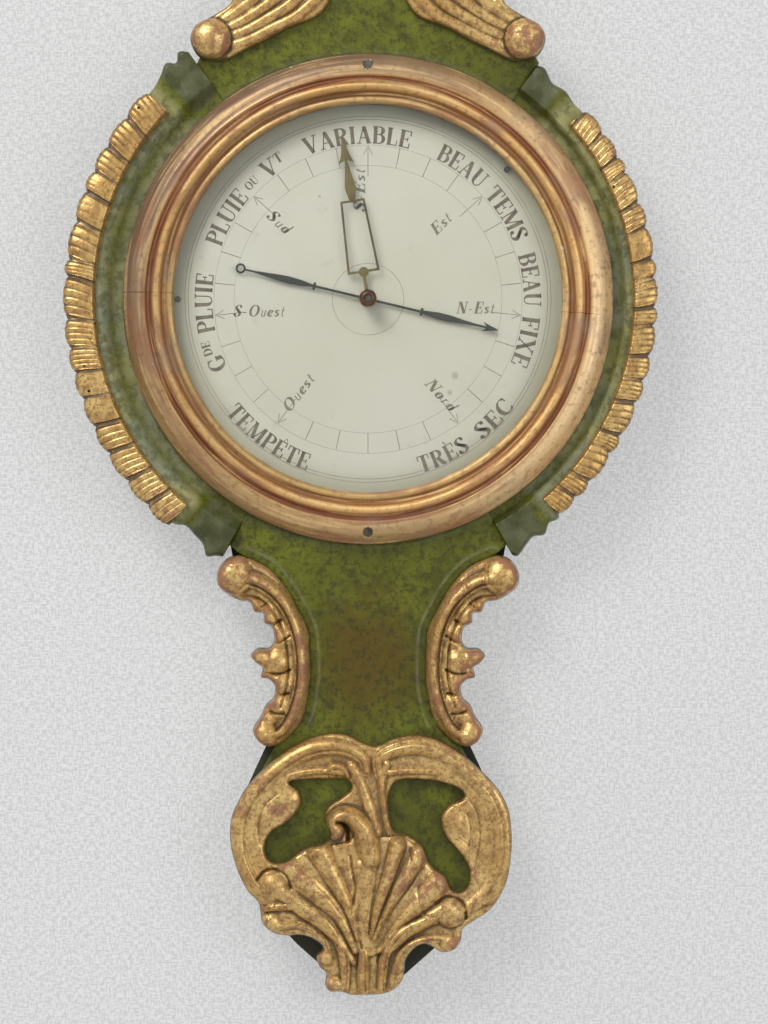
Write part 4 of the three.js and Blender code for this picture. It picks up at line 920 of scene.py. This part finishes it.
def fan_height(x, z):
    """Seven flutes round a low centre: the height is a power of |sin| of the angle, and grows outwards."""
    angle = np.degrees(np.arctan2(x / 0.62, z - 391 + 25))
    out = np.hypot(x / 0.62, z - 391 + 25) / 125
    flute = np.abs(np.sin(np.pi * 7 * (angle + 50) / 100))
    h = 4.5 + 5.2 * np.clip(out, 0, 1) ** 1.5 + 3.2 * flute**0.6 * np.clip(out * 1.4, 0, 1)
    return np.minimum(lay_ball(h, x, z, 0, 384, 11, CREST_TOP), CREST_TOP)


crest = relief("crest_shell_carved", FAN, [], fan_height, CREST_BACK, gilt_leaf, cell=0.75, roll=3)
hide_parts("crest_shell")
CREST_SCROLL = np.array([(4, 352), (12, 338), (30, 336), (48, 346), (60, 362), (66, 382), (62, 402),
                         (50, 412), (38, 406), (38, 394), (46, 390), (46, 378), (38, 366), (26, 358),
                         (14, 362), (4, 368)], float)


def crest_scroll_height(x, z):
    """One grooved rib that rolls up to a ball."""
    x = np.abs(x)
    h = np.full(x.shape, 4.0)
    h = lay_rib(h, x, z,
                [(6, 360, 10, 8), (18, 348, 13, 11), (34, 348, 13, 12), (48, 360, 13, 12), (55, 380, 12, 12),
                          (52, 396, 11, 12), (46, 402, 9, 11)], "groove", 0.5)
    return lay_ball(h, x, z, 47, 400, 8, 12)


for name, sign in (("left", -1), ("right", 1)):
    scroll = relief(f"crest_scroll_{name}_carved", spline(CREST_SCROLL, 6, closed=True) * [sign, 1], [],
                    crest_scroll_height,
                    CREST_BACK, gilt_leaf, cell=0.75, roll=2.5)
    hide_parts(f"crest_scroll_{name}")

# ---------------------------------------------------------------- dial paper
# Printed laid paper, yellowed and a little foxed, pasted on the brass dial plate.
p = Paint("dial_paper")
clouds = p.noise(9, 4)
colour = p.mix(p.step(clouds, 0.35, 0.65), (0.520, 0.494, 0.420), (0.492, 0.462, 0.372))
# Darker yellow-brown towards the rim: partly browned paper, partly painted shade under the bezel.
radius = p.vector("LENGTH", p.stretch((1, 0, 1)))
colour = p.mix(p.step(radius, 0.104, 0.126, 0.0, 0.8), colour, (0.330, 0.305, 0.205))
colour = p.mix(p.step(p.noise(60, 5, rough=0.7), 0.60, 0.72, 0.0, 0.3), colour, (0.33, 0.29, 0.19))
for spot, size in (((0.056, 0, -0.049), 0.0022), ((0.0525, 0, -0.060), 0.0016), ((-0.031, 0, 0.066), 0.0010)):
    away = p.vector("DISTANCE", p.stretch((1, 0, 1)), spot)
    colour = p.mix(p.step(away, size * 1.5, size * 0.4, 0.0, 0.6), colour, (0.30, 0.24, 0.13))
paper = p.finish(colour=colour, rough=0.75, normal=p.bump(p.noise(700, 3), 0.06, 0.0002))
frame["nodes"]["dial_paper"].data.materials.clear()
frame["nodes"]["dial_paper"].data.materials.append(paper)

# ---------------------------------------------------------------- print on the dial
# Letters, rings and ticks in iron-gall brown ink, as ribbons a hair above the paper.
PAPER = box_mm("dial_paper")[1][1]
THICK, THIN = 0.20, 0.065


def arc(cx, cy, rx, ry, a0, a1, n=14):
    """Points of an ellipse's arc, in degrees anticlockwise from the right."""
    a = np.radians(np.linspace(a0, a1, n))
    return np.stack([cx + rx * np.cos(a), cy + ry * np.sin(a)], -1)


def thick(*points):
    """A broad straight stroke."""
    return np.array(points, float), THICK


def thin(*points):
    """A fine straight stroke."""
    return np.array(points, float), THIN


def bowl(points):
    """A curve that swells where it runs upright, as a broad pen's does."""
    way = np.gradient(points, axis=0)
    upright = np.abs(way[:, 1]) / np.maximum(np.hypot(way[:, 0], way[:, 1]), 1e-9)
    return points, THIN + (THICK - THIN) * upright**2.2


def serif(x, y, half=0.13):
    """A fine level stroke centred on x."""
    return thin((x - half, y), (x + half, y))


STEM = thick((0.17, 0), (0.17, 1))
GLYPHS = {  # width and strokes, in units of the capital height
    "I": (0.36, [STEM, serif(0.17, 0.02), serif(0.17, 0.98)]),
    "L": (0.64, [STEM, serif(0.17, 0.98), thin((0.03, 0.02), (0.6, 0.02)), thin((0.585, 0), (0.585, 0.3))]),
    "E": (0.68, [STEM, thin((0.03, 0.02), (0.62, 0.02)), thin((0.03, 0.98), (0.6, 0.98)),
                 thin((0.17, 0.5), (0.46, 0.5)),
                 thin((0.6, 0), (0.6, 0.3)), thin((0.58, 0.72), (0.58, 1)),
                 thin((0.46, 0.38), (0.46, 0.62))]),
    "F": (0.64, [STEM, serif(0.17, 0.02), thin((0.03, 0.98), (0.6, 0.98)), thin((0.17, 0.5), (0.46, 0.5)),
                 thin((0.58, 0.72), (0.58, 1)), thin((0.46, 0.38), (0.46, 0.62))]),
    "T": (0.72, [thick((0.36, 0), (0.36, 1)), serif(0.36, 0.02), thin((0.04, 0.98), (0.68, 0.98)),
                 thin((0.055, 0.7), (0.055, 1)), thin((0.665, 0.7), (0.665, 1))]),
    "A": (0.80, [thin((0.12, 0), (0.39, 1)), thick((0.39, 0.97), (0.66, 0)), thin((0.2, 0.33), (0.56, 0.33)),
                 serif(0.12, 0.02), serif(0.66, 0.02)]),
    "V": (0.80,
          [thick((0.13, 1), (0.40, 0)), thin((0.40, 0.02), (0.67, 1)), serif(0.13, 0.98), serif(0.67, 0.98)]),
    "M": (0.98, [thin((0.14, 0), (0.14, 1)), thick((0.18, 1), (0.48, 0.04)), thin((0.48, 0.04), (0.78, 1)),
                 thick((0.82, 0), (0.82, 1)), serif(0.14, 0.02), serif(0.82, 0.02), serif(0.10, 0.98, 0.09),
                 serif(0.86, 0.98, 0.09)]),
    "N": (0.82, [thin((0.14, 0), (0.14, 1)), thick((0.18, 1), (0.66, 0)), thin((0.68, 0), (0.68, 1)),
                 serif(0.14, 0.02),
                 serif(0.68, 0.98), serif(0.10, 0.98, 0.09)]),
    "X": (0.78,
          [thick((0.14, 1), (0.62, 0)), thin((0.64, 1), (0.12, 0)), serif(0.14, 0.98), serif(0.64, 0.98),
                 serif(0.12, 0.02), serif(0.62, 0.02)]),
    "U": (0.78, [bowl(np.vstack([[(0.18, 1), (0.18, 0.5)], arc(0.41, 0.3, 0.23, 0.28, 180, 270)])),
                 (np.vstack([arc(0.41, 0.3, 0.23, 0.28, 270, 360), [(0.64, 1)]]), THIN), serif(0.18, 0.98),
                 serif(0.64, 0.98)]),
    "P": (0.66, [STEM, serif(0.17, 0.02), thin((0.03, 0.98), (0.36, 0.98)),
                 bowl(arc(0.34, 0.74, 0.24, 0.24, 90, -90)),
                 thin((0.17, 0.5), (0.36, 0.5))]),
    "R": (0.76, [STEM, serif(0.17, 0.02), thin((0.03, 0.98), (0.36, 0.98)),
                 bowl(arc(0.34, 0.74, 0.23, 0.24, 90, -90)),
                 thin((0.17, 0.5), (0.36, 0.5)), thick((0.38, 0.5), (0.62, 0.02)),
                 thin((0.6, 0.02), (0.74, 0.02))]),
    "B": (0.72, [STEM, thin((0.03, 0.98), (0.36, 0.98)), thin((0.03, 0.02), (0.38, 0.02)),
                 thin((0.17, 0.53), (0.38, 0.53)),
                 bowl(arc(0.35, 0.755, 0.21, 0.225, 90, -90)), bowl(arc(0.37, 0.275, 0.24, 0.255, 90, -90))]),
    "D": (0.78, [STEM, thin((0.03, 0.98), (0.34, 0.98)), thin((0.03, 0.02), (0.34, 0.02)),
                 bowl(arc(0.32, 0.5, 0.34, 0.48, 90, -90, 20))]),
    "O": (0.82, [bowl(arc(0.40, 0.5, 0.31, 0.48, 0, 360, 40))]),
    "C": (0.76, [bowl(arc(0.40, 0.5, 0.31, 0.48, 52, 310, 30)), thin((0.60, 0.68), (0.60, 0.96)),
                 thin((0.60, 0.06), (0.60, 0.22))]),
    "G": (0.82, [bowl(arc(0.40, 0.5, 0.31, 0.48, 52, 310, 30)), thin((0.60, 0.68), (0.60, 0.96)),
                 thick((0.62, 0.08), (0.62, 0.42)), serif(0.62, 0.42)]),
    "S": (0.62, [bowl(spline([(0.50, 0.80), (0.42, 0.95), (0.28, 0.98), (0.14, 0.88), (0.13, 0.70),
                              (0.28, 0.56), (0.43, 0.44), (0.50, 0.28), (0.44, 0.10), (0.29, 0.02),
                              (0.14, 0.08), (0.08, 0.24)], 5)),
                 thick((0.17, 0.68), (0.46, 0.34)), thin((0.51, 0.74), (0.51, 0.97)),
                 thin((0.075, 0.05), (0.075, 0.3))]),
    "-": (0.36, [thin((0.06, 0.33), (0.28, 0.33))]),
    " ": (0.34, []),
    "s": (0.36, [bowl(spline([(0.29, 0.47), (0.20, 0.55), (0.09, 0.48), (0.12, 0.35), (0.25, 0.24),
                              (0.27, 0.10), (0.16, 0.02), (0.05, 0.10)], 4))]),
    "t": (0.30, [(np.array([(0.14, 0.8), (0.13, 0.12), (0.2, 0.02), (0.27, 0.08)]), 0.085),
                 thin((0.03, 0.55), (0.26, 0.55))]),
    "o": (0.44, [bowl(arc(0.21, 0.28, 0.15, 0.27, 0, 360, 24))]),
    "r": (0.36, [(np.array([(0.11, 0), (0.11, 0.55)]), 0.09),
                 (spline([(0.11, 0.38), (0.2, 0.53), (0.3, 0.5)], 4), 0.06)]),
    "d": (0.46, [bowl(arc(0.2, 0.28, 0.14, 0.27, 0, 360, 24)), (np.array([(0.35, 0), (0.35, 1)]), 0.09)]),
    "u": (0.46, [(np.vstack([[(0.1, 0.55), (0.1, 0.2)], arc(0.21, 0.17, 0.11, 0.16, 180, 330, 8)]), 0.08),
                 (np.array([(0.35, 0), (0.35, 0.55)]), 0.09)]),
    "e": (0.42, [bowl(arc(0.21, 0.28, 0.15, 0.27, 20, 325, 22)), thin((0.07, 0.3), (0.35, 0.34))]),
}


def ribbon(points, width):
    """Quads of a flat ribbon along points, square to them, of a width that may change."""
    way = np.gradient(points, axis=0)
    way /= np.maximum(np.hypot(way[:, 0], way[:, 1])[:, None], 1e-9)
    off = np.stack([-way[:, 1], way[:, 0]], -1) * (np.broadcast_to(width, len(points))[:, None] / 2)
    n = len(points)
    quads = np.stack([np.arange(n - 1), np.arange(1, n), n + np.arange(1, n), n + np.arange(n - 1)], -1)
    return np.vstack([points + off, points - off]), quads


def subdivide(points, parts=4):
    """Adds points along straight strokes, so that they bend with the ring they are set on."""
    if len(points) > 8:
        return points, None
    t = np.linspace(0, len(points) - 1, (len(points) - 1) * parts + 1)
    rows = np.arange(len(points))
    return np.stack([np.interp(t, rows, points[:, i]) for i in (0, 1)], -1), (t, rows)


def write(word, size, lean=0.0, heights=None, spacing=0.04):
    """A word as flat ribbons in (along, up) millimetres, centred on 0. heights gives small raised letters."""
    verts, faces, x, count = [], [], 0.0, 0
    for i, letter in enumerate(word):
        scale, lift = (heights or {}).get(i, (1.0, 0.0))
        wide, strokes = GLYPHS[letter]
        for points, width in strokes:
            fine, map_ = subdivide(points)
            if map_ is not None and np.ndim(width):
                width = np.interp(map_[0], map_[1], width)
            v, f = ribbon(fine, width)
            v = v * scale + [x, lift]
            v[:, 0] += lean * v[:, 1]
            verts.append(v * size)
            faces.append(f + count)
            count += len(v)
        x += (wide + spacing) * scale
    verts = np.vstack(verts)
    verts[:, 0] -= x * size / 2
    return verts, np.vstack(faces)


def on_ring(flat, r, degrees, inward=False):
    """Bends flat (along, up) points round the dial axis. Tops point outwards, or inwards when inward."""
    if inward:
        return np.stack(polar(r - flat[:, 1], degrees - np.degrees(flat[:, 0] / r)), -1)
    return np.stack(polar(r + flat[:, 1], degrees + np.degrees(flat[:, 0] / r)), -1)


def squeeze(flat, width):
    """Stretches a word to the width it takes up on the dial."""
    now = flat[:, 0].max() - flat[:, 0].min()
    return flat * [width / now, 1]


def print_piece(name, parts, ink, lift):
    """One mesh from flat (x, z) ribbons, lifted a little off the paper."""
    verts, faces, count = [], [], 0
    for v, f in parts:
        verts.append(v)
        faces.append(f + count)
        count += len(v)
    flat = np.vstack(verts)
    points = np.stack([flat[:, 0], np.full(len(flat), PAPER + lift), flat[:, 1]], -1)
    mesh = bpy.data.meshes.new(name)
    mesh.from_pydata((points * [1, -1, 1] * 0.001).tolist(), [], np.vstack(faces).tolist())
    mesh.materials.append(ink)
    piece = bpy.data.objects.new(name, mesh)
    bpy.context.scene.collection.objects.link(piece)
    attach(piece, "case")
    return piece


def ink(name, dark, faded):
    """Brown ink that has faded in clouds."""
    p = Paint(name)
    fade = p.step(p.noise(90, 4, rough=0.7), 0.35, 0.7)
    return p.finish(colour=p.mix(fade, dark, faded), rough=0.8)


letters = []
for word, start, end, raised in (
    ("VARIABLE", -22.6, 15.4, None), ("BEAU", 26.0, 45.0, None), ("TEMS", 48.5, 68.7, None),
    ("BEAU", 74, 92.5, None), ("FIXE", 96.5, 114, None),
    ("GDE", 244.5, 255.5, {1: (0.5, 0.5), 2: (0.5, 0.5)}), ("PLUIE", 258.5, 279, None), ("PLUIE", 290, 310.5,
        None), ("OU", 312.5, 317.5, {0: (0.5, 0.25), 1: (0.5, 0.25)}), ("VT", 320.5, 329, {1: (0.6, 0.4)}),
):
    flat, quads = write(word, 11.0, heights=raised)
    flat = squeeze(flat, np.radians(end - start) * 105.0)
    letters.append((on_ring(flat * [100 / 105, 1], 100.2, (start + end) / 2), quads))
for word, start, end in (("TRES", 163, 145.5), ("SEC", 140.5, 125.7), ("TEMPETE", 231.3, 199.7)):
    flat, quads = write(word, 10.6)
    flat = squeeze(flat, np.radians(start - end) * 111.0)
    letters.append((on_ring(flat * [116.6 / 111, 1], 116.8, (start + end) / 2, inward=True), quads))
accents = [(on_ring(np.array(a, float), 116.8, c, inward=True), np.array([[0, 1, 2, 3]])) for a, c in (
    ([(0, 11.2), (-0.6, 11.0), (-2.2, 13.2), (-1.0, 13.2)], 151.8),
    ([(-1.7, 11.2), (-1.2, 11.2), (0.2, 13.0), (-0.2, 13.2)], 209.9),
    ([(1.7, 11.2), (1.2, 11.2), (-0.2, 13.0), (0.2, 13.2)], 209.9))]
print_piece("dial_words", letters + accents, ink("ink_words", (0.115, 0.088, 0.058), (0.19, 0.155, 0.11)),
            0.05)

winds = []
for word, x, z, turn, wide in (("S-Est", -4.5, 70, 90, 28), ("Est", 47.5, 48, 45, 15),
                               ("N-Est", 69, -6.5, 0, 25), ("Nord", 46.5, -62, -47, 26),
                               ("Ouest", -44, -60.5, 53, 27), ("S-Ouest", -70, -8.5, 0, 33),
                               ("Sud", -57.5, 49, -42, 18)):
    flat, quads = write(word, 7.4, lean=0.22, spacing=0.12)
    flat = squeeze(flat, wide) - [0, 2.6]
    c, k = np.cos(np.radians(turn)), np.sin(np.radians(turn))
    winds.append((flat @ np.array([[c, k], [-k, c]]) + [x, z], quads))
print_piece("dial_winds", winds, ink("ink_winds", (0.135, 0.115, 0.080), (0.20, 0.175, 0.13)), 0.05)

lines = []
for r, width in ((23, 0.35), (86, 0.22), (99.0, 0.22), (115.5, 0.4), (117.6, 0.4)):
    points = np.stack(polar(r, np.linspace(0, 360, 241)), -1)
    lines.append(ribbon(points, width))
ARROWS = (0, 48, 96, 144, 216, 264, 312)
for degrees in range(0, 360, 12):
    low_r, high_r = (79, 97) if degrees in ARROWS else (86, 99)
    points = np.stack(polar(np.array([low_r, high_r]), np.array([degrees, degrees])), -1)
    lines.append(ribbon(points, 0.55))
    if degrees in ARROWS:
        for lean_to in (-1, 1):
            x, z = polar(np.array([98.5, 93.0]), np.array([degrees, degrees + lean_to * 1.7]))
            lines.append(ribbon(np.stack([x, z], -1), 0.5))
print_piece("dial_lines", lines, ink("ink_lines", (0.19, 0.175, 0.13), (0.29, 0.27, 0.21)), 0.04)

# ---------------------------------------------------------------- glass
# Flat old window glass, held in the bezel's rabbet by the retainer.
p = Paint("clear_glass")
p.finish(colour=(0.97, 0.985, 0.975), rough=0.015, specular=0.5)
p.shader.inputs["Transmission Weight"].default_value = 1.0
p.shader.inputs["IOR"].default_value = 1.45
p.tree.links.new(p.bump(p.noise(9, 1), 0.02, 0.001), p.shader.inputs["Normal"])
light_path = p.node("ShaderNodeLightPath")
clear = p.node("ShaderNodeBsdfTransparent", {"Color": (0.96, 0.98, 0.97, 1)})
blend = p.node("ShaderNodeMixShader",
               {0: light_path.outputs["Is Shadow Ray"], 1: p.shader.outputs[0], 2: clear.outputs[0]})
p.tree.links.new(blend.outputs[0], p.tree.nodes["Material Output"].inputs["Surface"])
frame["nodes"]["glass"].data.materials.clear()
frame["nodes"]["glass"].data.materials.append(p.material)

# ---------------------------------------------------------------- hands
# Blued steel indicator under the brass set hand, both cut from sheet. The set hand's knob is outside the
# glass.
blued = metal("blued_steel", (0.040, 0.042, 0.034), (0.070, 0.068, 0.048), 0.36, 0.75)
patinated = metal("patinated_brass", (0.225, 0.170, 0.060), (0.085, 0.066, 0.026), 0.36, 0.8)
for node_name, material in (("indicator_hand", blued), ("set_hand", patinated)):
    frame["nodes"][node_name].data.materials.clear()
    frame["nodes"][node_name].data.materials.append(material)
low, high = box_mm("set_hand_knob")
knob_profile = spline([(2.5, low[1]), (4.1, low[1] + 0.1), (5.0, low[1] + 0.7), (5.45, low[1] + 1.6),
                       (5.45, low[1] + 3.8), (5.2, low[1] + 4.8), (4.4, low[1] + 5.7), (3.4, high[1] - 0.1),
                       (2.4, high[1])], 4)
kx, kz = polar(knob_profile[None, :, 0], np.linspace(0, 360, 48, endpoint=False)[:, None])
knob = swept("set_hand_knob_turned", np.stack([kx, np.broadcast_to(knob_profile[:, 1], kx.shape), kz], -1),
             metal("knob_patina", (0.20, 0.105, 0.070), (0.09, 0.055, 0.045), 0.30, 0.8), closed=True,
             body="setting_hand")
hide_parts("set_hand_knob")
screw_face = metal("screw_steel", (0.20, 0.19, 0.16), (0.08, 0.075, 0.06), 0.4, 0.9, 900)
for node_name in ("bezel_screw_top", "bezel_screw_bottom", "dial_screw_left", "dial_screw_right",
                  "set_hand_arbor"):
    frame["nodes"][node_name].data.materials.clear()
    frame["nodes"][node_name].data.materials.append(screw_face)

# ---------------------------------------------------------------- stage: wall, lights and camera

p = Paint("stage_wall")
warp = p.noise(1.0, 2, p.stretch((900, 1, 280)), 0.5)
weft = p.noise(1.0, 2, p.stretch((280, 1, 900)), 0.5)
weave = p.math("ADD", warp, weft)
tint = p.mix(p.noise(2.2, 2), (0.71, 0.71, 0.705), (0.82, 0.82, 0.815))
tint = p.mix(p.step(weave, 0.84, 1.18, 0.0, 0.40), tint, (0.38, 0.38, 0.37))
p.finish(colour=p.mix(0.55, tint, (0.0, 0.0, 0.0)), rough=0.9, specular=0.05,
         normal=p.bump(weave, 0.2, 0.0006))
p.tree.links.new(tint, p.shader.inputs["Emission Color"])
p.shader.inputs["Emission Strength"].default_value = 0.56
light_path = p.node("ShaderNodeLightPath")
facing = p.node("ShaderNodeNewGeometry").outputs["Backfacing"]
shown = p.math("MULTIPLY", light_path.outputs["Is Camera Ray"], p.math("SUBTRACT", 1.0, facing))
clear = p.node("ShaderNodeBsdfTransparent")
blend = p.node("ShaderNodeMixShader", {0: shown, 1: clear.outputs[0], 2: p.shader.outputs[0]})
p.tree.links.new(blend.outputs[0], p.tree.nodes["Material Output"].inputs["Surface"])
mesh = bpy.data.meshes.new("stage_wall")
mesh.from_pydata([(-3, 0.002, -3), (3, 0.002, -3), (3, 0.002, 3), (-3, 0.002, 3)], [], [(0, 1, 2, 3)])
mesh.materials.append(p.material)
wall = bpy.data.objects.new("stage_wall", mesh)
bpy.context.scene.collection.objects.link(wall)

world = bpy.data.worlds.new("studio")
world.use_nodes = True
world.node_tree.nodes["Background"].inputs["Color"].default_value = (0.86, 0.88, 0.90, 1)
world.node_tree.nodes["Background"].inputs["Strength"].default_value = 0.66
bpy.context.scene.world = world


def lamp(name, place, target, size, watts, colour):
    """A soft square lamp at place, turned to a target, both in metres."""
    data = bpy.data.lights.new(name, "AREA")
    data.size, data.energy, data.color = size, watts, colour
    item = bpy.data.objects.new(name, data)
    item.location = place
    way = np.array(target, float) - np.array(place, float)
    item.rotation_euler = Vector(way).to_track_quat("-Z", "Y").to_euler()
    bpy.context.scene.collection.objects.link(item)


lamp("key", (-1.1, -1.8, 1.7), (0, 0, -0.1), 1.1, 38, (1.0, 0.985, 0.96))
lamp("fill", (1.6, -2.0, 0.3), (0, 0, -0.1), 1.4, 12, (0.97, 0.98, 1.0))

camera_data = bpy.data.cameras.new("camera")
camera_data.lens = 85
camera_data.sensor_fit = "VERTICAL"
camera_data.sensor_height = 24
camera = bpy.data.objects.new("camera", camera_data)
distance = 0.6574 / 24 * 85 + 0.035
camera.location = (0.0103, -distance, -0.1367)
camera.rotation_euler = (np.pi / 2, 0, 0)
bpy.context.scene.collection.objects.link(camera)
bpy.context.scene.camera = camera
bpy.context.scene.view_settings.view_transform = "Standard"
